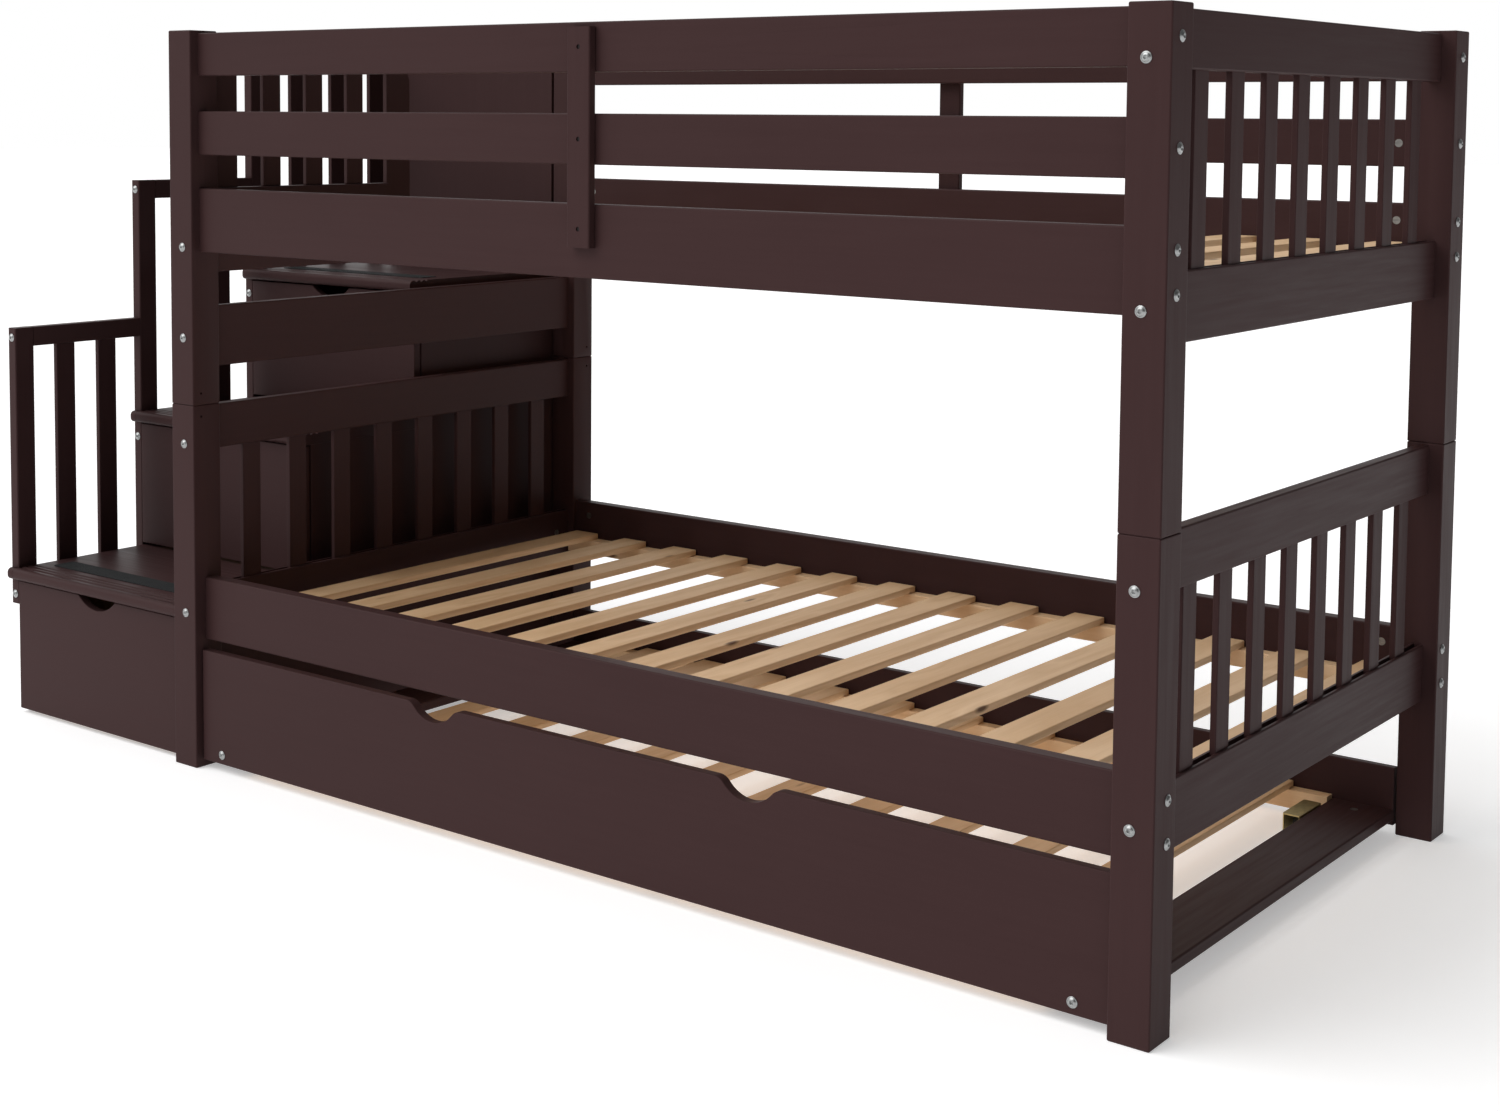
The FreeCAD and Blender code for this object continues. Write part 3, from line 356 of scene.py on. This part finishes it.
def set_inputs(made, tree, values):
    """Add a tree to an object and set its named inputs."""
    repeat = made.modifiers.new(tree.name, "NODES")
    repeat.node_group = tree
    names = {item.name: item.identifier for item in tree.interface.items_tree
             if item.in_out == "INPUT"}
    for name, value in values.items():
        repeat[names[name]] = value


def row_of_boards(name, along, ease, stock, material, body):
    """Replace a CAD node of like boards in a straight row."""
    boards = solids(name)
    low, high, _ = boards[0]
    pitch = (boards[-1][0] - low) / max(1, len(boards) - 1)
    bm = box_mesh(low, high)
    eased(bm, ease)
    grain_layer(bm, low, along)
    made = piece("row_" + name, bm, material)
    set_inputs(made, rows, {"Number": len(boards), "Pitch": tuple(pitch), "Stock": stock,
                            "Finish": material})
    settled(made)
    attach(made, body)
    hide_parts(name)


rows = row_tree()
SLAT_EASE = 0.0016
STOCK_STEP_X = 0.7
STOCK_STEP_Z = 1.3


def grain_in_board(tree, stretch):
    """Where a point lies in its own board, from the board's stored grain."""
    stored = node(tree, "ShaderNodeAttribute", attribute_name="grain")
    squeeze = node(tree, "ShaderNodeMapping")
    squeeze.inputs["Scale"].default_value = stretch
    tree.links.new(stored.outputs["Vector"], squeeze.inputs["Vector"])
    return squeeze.outputs["Vector"]


slat_paint = sprayed_paint("espresso_paint_slats", grain_in_board, 0.38, 0.52)[0]
for stock, name in enumerate(("right_upper_slats", "right_lower_slats", "left_lower_slats",
                              "left_guard_slats")):
    row_of_boards(name, "z", SLAT_EASE, 11 + stock, slat_paint, "frame")


def gather(bm, one):
    """Add one board's mesh to the mesh that holds them all."""
    held = bpy.data.meshes.new("board")
    one.to_mesh(held)
    one.free()
    bm.from_mesh(held)
    bpy.data.meshes.remove(held)


bm = bmesh.new()
for number, (low, high, _) in enumerate(solids("handrail_slats")):
    one = box_mesh(low, high)
    eased(one, SLAT_EASE)
    grain_layer(one, low - Vector((number * STOCK_STEP_X, 0, number * STOCK_STEP_Z)), "z")
    gather(bm, one)
made = piece("row_handrail_slats", bm, slat_paint)
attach(made, "frame")
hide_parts("handrail_slats")

# ------------------------------------------------------------------ pine decks
# The two bunks and the trundle have decks of planed pine slats, left bare. The boards show
# streaky growth rings and small brown knots. They lie on pine ledgers along the rails.
PINE_PALE = (0.83, 0.605, 0.390, 1)
PINE_RING = (0.70, 0.475, 0.275, 1)
PINE_KNOT = (0.105, 0.045, 0.020, 1)
DECK_EASE = 0.0022


def pine(name, place):
    """Bare planed pine. The place gives a point's position in the wood, grain along X."""
    material, tree, shader = finish(name)
    knots = node(tree, "ShaderNodeTexVoronoi", feature="F1")
    knots.inputs["Scale"].default_value = 1.0
    tree.links.new(place(tree, (3.4, 13, 13)), knots.inputs["Vector"])
    near = span(tree, knots.outputs["Distance"], 1.0, 0.0, 0.03, 0.34)
    drift = noise(tree, place(tree, (1.6, 10, 10)), 1.0, 3.0)
    bend = node(tree, "ShaderNodeMath", operation="MULTIPLY_ADD")
    bend.inputs[1].default_value = 2.2
    tree.links.new(near, bend.inputs[0])
    tree.links.new(span(tree, drift, 0.0, 9.0), bend.inputs[2])
    across = node(tree, "ShaderNodeSeparateXYZ")
    tree.links.new(place(tree, (1, 150, 90)), across.inputs["Vector"])
    rings = node(tree, "ShaderNodeMath", operation="ADD")
    tree.links.new(across.outputs["Y"], rings.inputs[0])
    tree.links.new(bend.outputs["Value"], rings.inputs[1])
    wave = node(tree, "ShaderNodeMath", operation="PINGPONG")
    wave.inputs[1].default_value = 1.0
    tree.links.new(rings.outputs["Value"], wave.inputs[0])
    fibres = noise(tree, place(tree, (9, 420, 420)), 1.0, 5.0, 0.6)
    mixed = node(tree, "ShaderNodeMath", operation="MULTIPLY_ADD")
    mixed.inputs[1].default_value = 0.45
    tree.links.new(wave.outputs["Value"], mixed.inputs[0])
    tree.links.new(span(tree, fibres, 0.0, 0.55), mixed.inputs[2])
    wood = ramp(tree, mixed.outputs["Value"], [(0.18, PINE_PALE), (0.85, PINE_RING)])
    tone = noise(tree, place(tree, (0.5, 3, 3)), 1.0, 2.0)
    shade = node(tree, "ShaderNodeMix", data_type="RGBA", blend_type="MULTIPLY")
    shade.inputs["Factor"].default_value = 1.0
    tree.links.new(wood, shade.inputs["A"])
    tree.links.new(ramp(tree, tone, [(0.3, (0.88, 0.83, 0.76, 1)), (0.7, (1, 1, 1, 1))]),
                   shade.inputs["B"])
    knot = node(tree, "ShaderNodeMix", data_type="RGBA")
    tree.links.new(span(tree, knots.outputs["Distance"], 0.92, 0.0, 0.035, 0.085),
                   knot.inputs["Factor"])
    tree.links.new(shade.outputs["Result"], knot.inputs["A"])
    knot.inputs["B"].default_value = PINE_KNOT
    tree.links.new(knot.outputs["Result"], shader.inputs["Base Color"])
    tree.links.new(span(tree, fibres, 0.52, 0.68), shader.inputs["Roughness"])
    shader.inputs["Specular IOR Level"].default_value = 0.32
    bumped(tree, shader, fibres, 0.25, 0.0006)
    return material


slat_pine = pine("bare_pine_slats", grain_in_board)
ledger_pine = pine("bare_pine_ledgers", lambda tree, stretch: grain_place(tree, "x", stretch))
row_of_boards("upper_slats", "y", DECK_EASE, 31, slat_pine, "frame")
row_of_boards("lower_slats", "y", DECK_EASE, 32, slat_pine, "frame")
row_of_boards("trundle_slats", "y", DECK_EASE, 33, slat_pine, "trundle")
coat(ledger_pine, "slat_ledgers", "trundle_ledgers")

# ------------------------------------------------------------------ bolts
# Dome-headed zinc-plated bolts with a hexagon key recess hold rails to posts. The head is
# turned with a small flat rim, and each stops at its own angle when it is tightened.
HEAD_RADIUS = 0.0085
HEAD_TALL = 0.004
KEY_RADIUS = 0.0029
HEAD_SIDES = 24


def zinc(name, colour, low_rough, high_rough):
    """Zinc plating with a faint cloudy passivation."""
    material, tree, shader = finish(name)
    cloud = noise(tree, grain_place(tree, "x", (1, 1, 1)), 160, 4.0)
    dull = tuple(0.72 * c for c in colour[:3]) + (1,)
    tree.links.new(ramp(tree, cloud, [(0.3, dull), (0.7, colour)]), shader.inputs["Base Color"])
    shader.inputs["Metallic"].default_value = 0.9
    tree.links.new(span(tree, cloud, low_rough, high_rough), shader.inputs["Roughness"])
    bumped(tree, shader, noise(tree, grain_place(tree, "x", (1, 1, 1)), 1400, 2.0), 0.08, 0.0002)
    return material


def bolt_head():
    """A bolt head that faces +Z from its seat, with its key recess and a stub of shank."""
    bm = bmesh.new()
    rings = []
    sixth = math.radians(60)

    def ring(height, radius, hexagon=False):
        verts = []
        for side in range(HEAD_SIDES):
            angle = 2 * math.pi * side / HEAD_SIDES
            reach = radius
            if hexagon:
                reach = radius * math.cos(sixth / 2) / math.cos((angle % sixth) - sixth / 2)
            verts.append(bm.verts.new((reach * math.cos(angle), reach * math.sin(angle), height)))
        rings.append(verts)

    ring(-0.012, 0.003)
    ring(0.0, 0.003)
    ring(0.0, HEAD_RADIUS)
    ring(0.0008, HEAD_RADIUS)
    ring(0.0014, 0.94 * HEAD_RADIUS)
    ring(0.0012, 0.83 * HEAD_RADIUS)
    for part in (0.97, 0.88, 0.72, 0.55):
        ring(0.0012 + (HEAD_TALL - 0.0012) * math.sqrt(1 - part * part), part * 0.80 * HEAD_RADIUS)
    ring(HEAD_TALL - 0.0003, KEY_RADIUS * 1.18, True)
    ring(HEAD_TALL - 0.0007, KEY_RADIUS, True)
    ring(HEAD_TALL - 0.0034, KEY_RADIUS * 0.98, True)
    for lower, upper in zip(rings, rings[1:]):
        for side in range(HEAD_SIDES):
            after = (side + 1) % HEAD_SIDES
            bm.faces.new((lower[side], lower[after], upper[after], upper[side]))
    bm.faces.new(rings[0][::-1])
    bm.faces.new(rings[-1])
    return bm


def bolts_tree():
    """A tree that sets one bolt on each point, facing the way that the point says."""
    tree = bpy.data.node_groups.new("Bolts on seats", "GeometryNodeTree")
    tree.interface.new_socket("Seats", in_out="INPUT", socket_type="NodeSocketGeometry")
    tree.interface.new_socket("Bolt", in_out="INPUT", socket_type="NodeSocketObject")
    tree.interface.new_socket("Tightening", in_out="INPUT", socket_type="NodeSocketInt")
    tree.interface.new_socket("Finish", in_out="INPUT", socket_type="NodeSocketMaterial")
    tree.interface.new_socket("Bolts", in_out="OUTPUT", socket_type="NodeSocketGeometry")
    given = node(tree, "NodeGroupInput")
    result = node(tree, "NodeGroupOutput")
    source = node(tree, "GeometryNodeObjectInfo")
    facing = node(tree, "GeometryNodeInputNamedAttribute", data_type="FLOAT_VECTOR")
    facing.inputs["Name"].default_value = "facing"
    aim = node(tree, "FunctionNodeAlignRotationToVector", axis="Z")
    spin = node(tree, "FunctionNodeRandomValue", data_type="FLOAT")
    spin.inputs[3].default_value = math.radians(60)
    turn = node(tree, "FunctionNodeAxisAngleToRotation")
    turn.inputs["Axis"].default_value = (0, 0, 1)
    both = node(tree, "FunctionNodeRotateRotation", rotation_space="LOCAL")
    set_out = node(tree, "GeometryNodeInstanceOnPoints")
    whole = node(tree, "GeometryNodeRealizeInstances")
    dress = node(tree, "GeometryNodeSetMaterial")
    link = tree.links.new
    link(given.outputs["Bolt"], source.inputs["Object"])
    link(facing.outputs["Attribute"], aim.inputs["Vector"])
    link(given.outputs["Tightening"], spin.inputs["Seed"])
    link(spin.outputs[1], turn.inputs["Angle"])
    link(aim.outputs["Rotation"], both.inputs["Rotation"])
    link(turn.outputs["Rotation"], both.inputs["Rotate By"])
    link(given.outputs["Seats"], set_out.inputs["Points"])
    link(source.outputs["Geometry"], set_out.inputs["Instance"])
    link(both.outputs["Rotation"], set_out.inputs["Rotation"])
    link(set_out.outputs["Instances"], whole.inputs["Geometry"])
    link(whole.outputs["Geometry"], dress.inputs["Geometry"])
    link(given.outputs["Finish"], dress.inputs["Material"])
    link(dress.outputs["Geometry"], result.inputs["Bolts"])
    return tree


def seats(name):
    """Where each bolt of a CAD node has its head, and which way the head faces."""
    places = []
    for low, high, corners in solids(name):
        size = high - low
        axis = max(range(3), key=lambda i: size[i])
        middle = (low + high) / 2
        reach = {-1: 0.0, 1: 0.0}
        for corner in corners:
            off = corner - middle
            end = 1 if off[axis] > 0 else -1
            off[axis] = 0
            reach[end] = max(reach[end], off.length)
        end = max(reach, key=reach.get)
        facing = Vector((0, 0, 0))
        facing[axis] = end
        seat = middle.copy()
        seat[axis] = (high[axis] - HEAD_TALL) if end > 0 else (low[axis] + HEAD_TALL)
        places.append((seat, facing))
    return places


zinc_plate = zinc("zinc_plate", (0.40, 0.41, 0.41, 1), 0.22, 0.38)
zinc_dull = zinc("zinc_plate_dull", (0.34, 0.34, 0.33, 1), 0.30, 0.46)
black_zinc = zinc("black_zinc_plate", (0.030, 0.026, 0.026, 1), 0.40, 0.55)
yellow_zinc = zinc("yellow_zinc_plate", (0.58, 0.47, 0.22, 1), 0.30, 0.46)
pattern = piece("bolt_pattern", bolt_head(), zinc_plate)
bolt_rows = bolts_tree()
for name, body in (("frame_bolts", "frame"), ("trundle_bolts", "trundle")):
    places = seats(name)
    mesh = bpy.data.meshes.new("set_" + name)
    mesh.from_pydata([seat for seat, _ in places], [], [])
    facing = mesh.attributes.new("facing", "FLOAT_VECTOR", "POINT")
    for item, (_, way) in zip(facing.data, places):
        item.vector = way
    made = bpy.data.objects.new("set_" + name, mesh)
    bpy.context.scene.collection.objects.link(made)
    set_inputs(made, bolt_rows, {"Bolt": pattern, "Tightening": 5, "Finish": zinc_plate})
    settled(made)
    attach(made, body)
    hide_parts(name)
bpy.data.objects.remove(pattern)
coat(zinc_dull, "barrel_nuts", "trundle_nuts", "post_pins")
coat(black_zinc, "stile_screws")

# ------------------------------------------------------------------ stair treads
# Three thick painted treads. The front edge is a bullnose, and three reeds are routed into
# the top just behind it. The nose runs on to the left in front of the handrail post.
REED_FIRST = 0.020
REED_PITCH = 0.015
REED_HALF = 0.0045
REED_DEEP = 0.0030
NOSE_ROUND = 0.0095
TREAD_EASE = 0.0008


def arc(centre_y, centre_z, radius, start, end, count):
    """Points on an arc in the plane of the tread's end, angles in degrees."""
    points = []
    for step in range(count + 1):
        angle = math.radians(start + (end - start) * step / count)
        points.append((centre_y + radius * math.cos(angle), centre_z + radius * math.sin(angle)))
    return points


def prism(outline, axis, low, high):
    """A board with a shaped outline, seen along an axis and running from low to high."""
    bm = bmesh.new()
    first = "xyz".index(axis)
    ends = []
    for place in (low, high):
        verts = []
        for a, b in outline:
            spot = [0, 0, 0]
            spot[first] = place
            spot[(first + 1) % 3] = a
            spot[(first + 2) % 3] = b
            verts.append(bm.verts.new(spot))
        ends.append(verts)
    count = len(outline)
    for i in range(count):
        j = (i + 1) % count
        bm.faces.new((ends[0][i], ends[0][j], ends[1][j], ends[1][i]))
    bm.faces.new(ends[0][::-1])
    bm.faces.new(ends[1])
    bmesh.ops.recalc_face_normals(bm, faces=bm.faces)
    return bm


def bullnose(front, under, top):
    """The rounded front edge of a tread, from its underside up to its top."""
    return (arc(front + NOSE_ROUND, under + NOSE_ROUND, NOSE_ROUND, 270, 180, 6)
            + arc(front + NOSE_ROUND, top - NOSE_ROUND, NOSE_ROUND, 180, 90, 6))


def tread_outline(front, back, under, top):
    """The end shape of a tread, with its bullnose and its reeds."""
    points = [(back, under)] + bullnose(front, under, top)
    for reed in range(3):
        middle = front + REED_FIRST + reed * REED_PITCH
        points += [(middle - REED_HALF, top), (middle - REED_HALF * 0.5, top - REED_DEEP * 0.8),
                   (middle, top - REED_DEEP), (middle + REED_HALF * 0.5, top - REED_DEEP * 0.8),
                   (middle + REED_HALF, top)]
    return points + [(back, top)]


def side_eased(bm, axis, width):
    """Round only the sharp edges round the two ends of a shaped board."""
    first = "xyz".index(axis)
    ends = [e for e in bm.edges if abs(e.verts[0].co[first] - e.verts[1].co[first]) < 1e-7]
    bmesh.ops.bevel(bm, geom=ends, offset=width, segments=2, profile=0.5, affect="EDGES")


bm = bmesh.new()
for low, high, corners in solids("stair_treads"):
    back_corner = max(c.x for c in corners)
    nose_end = low.x
    main_end = min(c.x for c in corners if c.y > high.y - 0.002)
    nose_deep = max(c.y for c in corners if c.x < nose_end + 0.001) - low.y
    nose_back = low.y + nose_deep
    parts = (
        (main_end, back_corner, tread_outline(low.y, high.y, low.z, high.z)),
        (nose_end, main_end, [(nose_back, low.z)] + bullnose(low.y, low.z, high.z)[:-1]
         + [(nose_back, high.z)]),
    )
    for start, end, outline in parts:
        one = prism(outline, "x", start, end)
        side_eased(one, "x", TREAD_EASE)
        gather(bm, one)
made = piece("reeded_treads", bm, paint["x"])
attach(made, "frame")
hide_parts("stair_treads")

# ------------------------------------------------------------------ anti-slip strips
# A strip of grit-faced tape is stuck across each tread behind the nose. It is dark grey,
# with a sandy face that catches the light in grains, and its corners are cut round.
STRIP_CORNER = 0.006
STRIP_SUNK = 0.0002
STRIP_EASE = 0.0004


def grit():
    """Mineral grit set in dark grey resin."""
    material, tree, shader = finish("anti_slip_grit")
    place = grain_place(tree, "x", (1, 1, 1))
    grains = node(tree, "ShaderNodeTexVoronoi", feature="F1")
    grains.inputs["Scale"].default_value = 900
    tree.links.new(place, grains.inputs["Vector"])
    tint = ramp(tree, noise(tree, place, 700, 3.0),
                [(0.35, (0.010, 0.011, 0.012, 1)), (0.72, (0.034, 0.036, 0.037, 1))])
    tree.links.new(tint, shader.inputs["Base Color"])
    tree.links.new(span(tree, grains.outputs["Distance"], 0.62, 0.92), shader.inputs["Roughness"])
    shader.inputs["Specular IOR Level"].default_value = 0.12
    bumped(tree, shader, grains.outputs["Distance"], 0.7, 0.0008)
    return material


grit_tape = grit()
bm = bmesh.new()
for low, high, _ in solids("anti_slip_strips"):
    outline = []
    for x, y, start in ((high.x, high.y, 0), (low.x, high.y, 90), (low.x, low.y, 180),
                        (high.x, low.y, 270)):
        inner_x = x - math.copysign(STRIP_CORNER, x - (low.x + high.x) / 2)
        inner_y = y - math.copysign(STRIP_CORNER, y - (low.y + high.y) / 2)
        outline += arc(inner_x, inner_y, STRIP_CORNER, start, start + 90, 5)
    one = prism(outline, "z", low.z - STRIP_SUNK, high.z)
    side_eased(one, "z", STRIP_EASE)
    gather(bm, one)
made = piece("grit_strips", bm, grit_tape)
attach(made, "frame")
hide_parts("anti_slip_strips")

# ------------------------------------------------------------------ stair corner post
# The post at the outer back corner of the stairs is square and painted like the bed's.
# It carries the back panels and the end of the top handrail.
bm = box_mesh(*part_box("stair_corner_post"))
eased(bm, POST_EASE)
made = piece("turned_stair_corner_post", bm, paint["z"])
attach(made, "frame")
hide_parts("stair_corner_post")

# ------------------------------------------------------------------ drawers in the stairs
# Each step hides a drawer. Its painted front overlaps the case, with a half-moon finger pull
# cut in the top edge. The box behind is bare pale board, on wooden runners.
PULL_HALF = 0.059
PULL_DEEP = 0.025
FRONT_EASE = 0.0018


def dip(middle, top, half, deep, count):
    """Points of a half-moon cut in a top edge, from right to left."""
    radius = (half * half + deep * deep) / (2 * deep)
    sweep = math.degrees(math.asin(half / radius))
    return arc(middle, top - deep + radius, radius, 270 + sweep, 270 - sweep, count)


def board_finish(name):
    """Sealed pale board of thin veneer, with soft straight figure."""
    material, tree, shader = finish(name)
    figure = noise(tree, grain_place(tree, "x", (2, 60, 60)), 2.0, 5.0)
    colour = ramp(tree, figure, [(0.3, (0.50, 0.34, 0.19, 1)), (0.7, (0.66, 0.48, 0.29, 1))])
    tree.links.new(colour, shader.inputs["Base Color"])
    tree.links.new(span(tree, figure, 0.45, 0.6), shader.inputs["Roughness"])
    bumped(tree, shader, figure, 0.1, 0.0005)
    return material


pale_board = board_finish("pale_drawer_board")
for number in (1, 2, 3):
    name = "drawer_%d_front" % number
    low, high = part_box(name)
    middle = (low.x + high.x) / 2
    outline = [(low.x, low.z), (high.x, low.z), (high.x, high.z)]
    outline += dip(middle, high.z, PULL_HALF, PULL_DEEP, 28)
    outline += [(low.x, high.z)]
    bm = prism([(z, x) for x, z in outline], "y", low.y, high.y)
    eased(bm, FRONT_EASE)
    made = piece("painted_" + name, bm, paint["x"])
    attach(made, "drawer_%d" % number)
    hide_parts(name)
    coat(pale_board, "drawer_%d_box" % number)
coat(pale_board, "drawer_runners")

# ------------------------------------------------------------------ trundle front
# A deep painted board closes the trundle. Two hand scoops are cut in its top edge, and each
# runs into the edge through a soft outward curve, so the board has no corner there.
SCOOP_APART = 0.340
SCOOP_HALF = 0.052
SCOOP_DEEP = 0.029
SCOOP_FLARE = 0.026


def scoop(middle, top):
    """Points of a hand scoop, from right to left, with its lips flared into the edge."""
    radius = (SCOOP_HALF ** 2 + SCOOP_DEEP ** 2) / (2 * SCOOP_DEEP)
    rise = radius - SCOOP_DEEP + SCOOP_FLARE
    reach = math.sqrt((radius + SCOOP_FLARE) ** 2 - rise ** 2)
    tilt = math.degrees(math.atan2(rise, reach))
    lip_z = top - SCOOP_FLARE
    right = arc(middle + reach, lip_z, SCOOP_FLARE, 90, 180 - tilt, 6)
    bowl = arc(middle, top - SCOOP_DEEP + radius, radius, 360 - tilt, 180 + tilt, 22)
    left = arc(middle - reach, lip_z, SCOOP_FLARE, tilt, 90, 6)
    return right + bowl[1:-1] + left


low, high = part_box("trundle_front")
middle = (low.x + high.x) / 2
outline = [(low.x, low.z), (high.x, low.z), (high.x, high.z)]
outline += scoop(middle + SCOOP_APART, high.z) + scoop(middle - SCOOP_APART, high.z)
outline += [(low.x, high.z)]
bm = prism([(z, x) for x, z in outline], "y", low.y, high.y)
eased(bm, FRONT_EASE)
made = piece("painted_trundle_front", bm, paint["x"])
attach(made, "trundle")
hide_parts("trundle_front")

# ------------------------------------------------------------------ casters
# Four low casters carry the trundle. A bent steel channel, plated yellow zinc, is screwed to
# the end board, and a moulded black wheel turns in it on a riveted axle.
WHEEL_PROFILE = (
    (0.0032, 0.0042), (0.0062, 0.0042), (0.0070, 0.0052), (0.0070, 0.0064), (0.0150, 0.0058),
    (0.0168, 0.0072), (0.0178, 0.0088), (0.0196, 0.0088), (0.0212, 0.0078), (0.0219, 0.0056),
    (0.0220, 0.0),
)
WHEEL_SIDES = 40


def moulded():
    """Moulded black plastic with a slightly scuffed face."""
    material, tree, shader = finish("moulded_black_plastic")
    scuff = noise(tree, grain_place(tree, "x", (1, 1, 1)), 220, 5.0)
    colour = ramp(tree, scuff, [(0.35, (0.012, 0.012, 0.013, 1)), (0.75, (0.040, 0.040, 0.041, 1))])
    tree.links.new(colour, shader.inputs["Base Color"])
    tree.links.new(span(tree, scuff, 0.38, 0.6), shader.inputs["Roughness"])
    bumped(tree, shader, scuff, 0.08, 0.0003)
    return material


black_plastic = moulded()
coat(yellow_zinc, "caster_brackets")
for corner in ("front_left", "front_right", "back_left", "back_right"):
    low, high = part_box("caster_wheel_" + corner)
    hub = (low + high) / 2
    profile = [(r, -x) for r, x in WHEEL_PROFILE] + [(r, x) for r, x in WHEEL_PROFILE[-2::-1]]
    bm = bmesh.new()
    rings = []
    for r, x in profile:
        rings.append([bm.verts.new((hub.x + x, hub.y + r * math.cos(2 * math.pi * s / WHEEL_SIDES),
                                    hub.z + r * math.sin(2 * math.pi * s / WHEEL_SIDES)))
                      for s in range(WHEEL_SIDES)])
    for a, b in zip(rings, rings[1:] + rings[:1]):
        for s in range(WHEEL_SIDES):
            t = (s + 1) % WHEEL_SIDES
            bm.faces.new((a[s], a[t], b[t], b[s]))
    made = piece("moulded_wheel_" + corner, bm, black_plastic)
    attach(made, "wheel_" + corner)
    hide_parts("caster_wheel_" + corner)

# ------------------------------------------------------------------ floor and light
# A plain pale studio floor that runs out to the horizon, in an even white surround that is
# dimmer on the right. A broad soft light high in front on the left casts the one soft shadow.
FLOOR_HALF = 60.0
FLOOR_GLOW = 0.38
SUN_STRENGTH = 1.8
SUN_SPREAD = 60
SUN_WAY = (0.42, 0.56, -0.80)
SURROUND_LEFT = 1.25
SURROUND_RIGHT = 0.12

material, tree, shader = finish("pale_floor")
mottle = noise(tree, grain_place(tree, "x", (1, 1, 1)), 3.0, 3.0)
tree.links.new(ramp(tree, mottle, [(0.3, (0.84, 0.84, 0.845, 1)), (0.7, (0.86, 0.86, 0.865, 1))]),
               shader.inputs["Base Color"])
shader.inputs["Roughness"].default_value = 0.7
shader.inputs["Specular IOR Level"].default_value = 0.2
shader.inputs["Emission Color"].default_value = (1.0, 1.0, 1.0, 1)
shader.inputs["Emission Strength"].default_value = FLOOR_GLOW
bm = bmesh.new()
corners = [(-FLOOR_HALF, -FLOOR_HALF), (FLOOR_HALF, -FLOOR_HALF), (FLOOR_HALF, FLOOR_HALF),
           (-FLOOR_HALF, FLOOR_HALF)]
bm.faces.new([bm.verts.new((x, y, 0)) for x, y in corners])
mesh = bpy.data.meshes.new("floor")
bm.to_mesh(mesh)
bm.free()
mesh.materials.append(material)
floor = bpy.data.objects.new("floor", mesh)
bpy.context.scene.collection.objects.link(floor)

data = bpy.data.lights.new("key_light", "SUN")
data.energy = SUN_STRENGTH
data.angle = math.radians(SUN_SPREAD)
data.color = (1.0, 0.995, 0.985)
key = bpy.data.objects.new("key_light", data)
key.rotation_euler = Vector(SUN_WAY).to_track_quat("-Z", "Y").to_euler()
bpy.context.scene.collection.objects.link(key)

world = bpy.data.worlds.new("studio")
world.use_nodes = True
tree = world.node_tree
seen = tree.nodes["Background"]
seen.inputs["Color"].default_value = (1.0, 1.0, 1.0, 1)
seen.inputs["Strength"].default_value = 1.0
surround = node(tree, "ShaderNodeBackground")
direction = node(tree, "ShaderNodeTexCoord")
sideways = node(tree, "ShaderNodeSeparateXYZ")
tree.links.new(direction.outputs["Generated"], sideways.inputs["Vector"])
strength = span(tree, sideways.outputs["X"], SURROUND_LEFT, SURROUND_RIGHT, -0.6, 0.5)
tree.links.new(strength, surround.inputs["Strength"])
ray = node(tree, "ShaderNodeLightPath")
both = node(tree, "ShaderNodeMixShader")
tree.links.new(ray.outputs["Is Camera Ray"], both.inputs["Fac"])
tree.links.new(surround.outputs["Background"], both.inputs[1])
tree.links.new(seen.outputs["Background"], both.inputs[2])
tree.links.new(both.outputs["Shader"], tree.nodes["World Output"].inputs["Surface"])
bpy.context.scene.world = world
bpy.context.scene.view_settings.view_transform = "Standard"

# ------------------------------------------------------------------ camera
# The camera stands at chest height off the front right corner and looks slightly down.
CAMERA_PLACE = (2.543, -3.155, 1.249)
CAMERA_YAW = 38.165
CAMERA_PITCH = -4.074
CAMERA_ROLL = 0.404
SENSOR_WIDE = 36.0
FRAME_WIDE = 1500.0
FRAME_TALL = 1111.0
FOCUS = 2144.0
CENTRE_X = 692.9
CENTRE_Y = 270.0

data = bpy.data.cameras.new("camera")
data.sensor_width = SENSOR_WIDE
data.lens = FOCUS / FRAME_WIDE * SENSOR_WIDE
data.shift_x = (FRAME_WIDE / 2 - CENTRE_X) / FRAME_WIDE
data.shift_y = -(FRAME_TALL / 2 - CENTRE_Y) / FRAME_WIDE
data.clip_end = 100
camera = bpy.data.objects.new("camera", data)
look = (Matrix.Rotation(math.radians(CAMERA_YAW), 4, "Z")
        @ Matrix.Rotation(math.radians(90 + CAMERA_PITCH), 4, "X")
        @ Matrix.Rotation(math.radians(CAMERA_ROLL), 4, "Z"))
camera.matrix_world = Matrix.Translation(CAMERA_PLACE) @ look
bpy.context.scene.collection.objects.link(camera)
bpy.context.scene.camera = camera
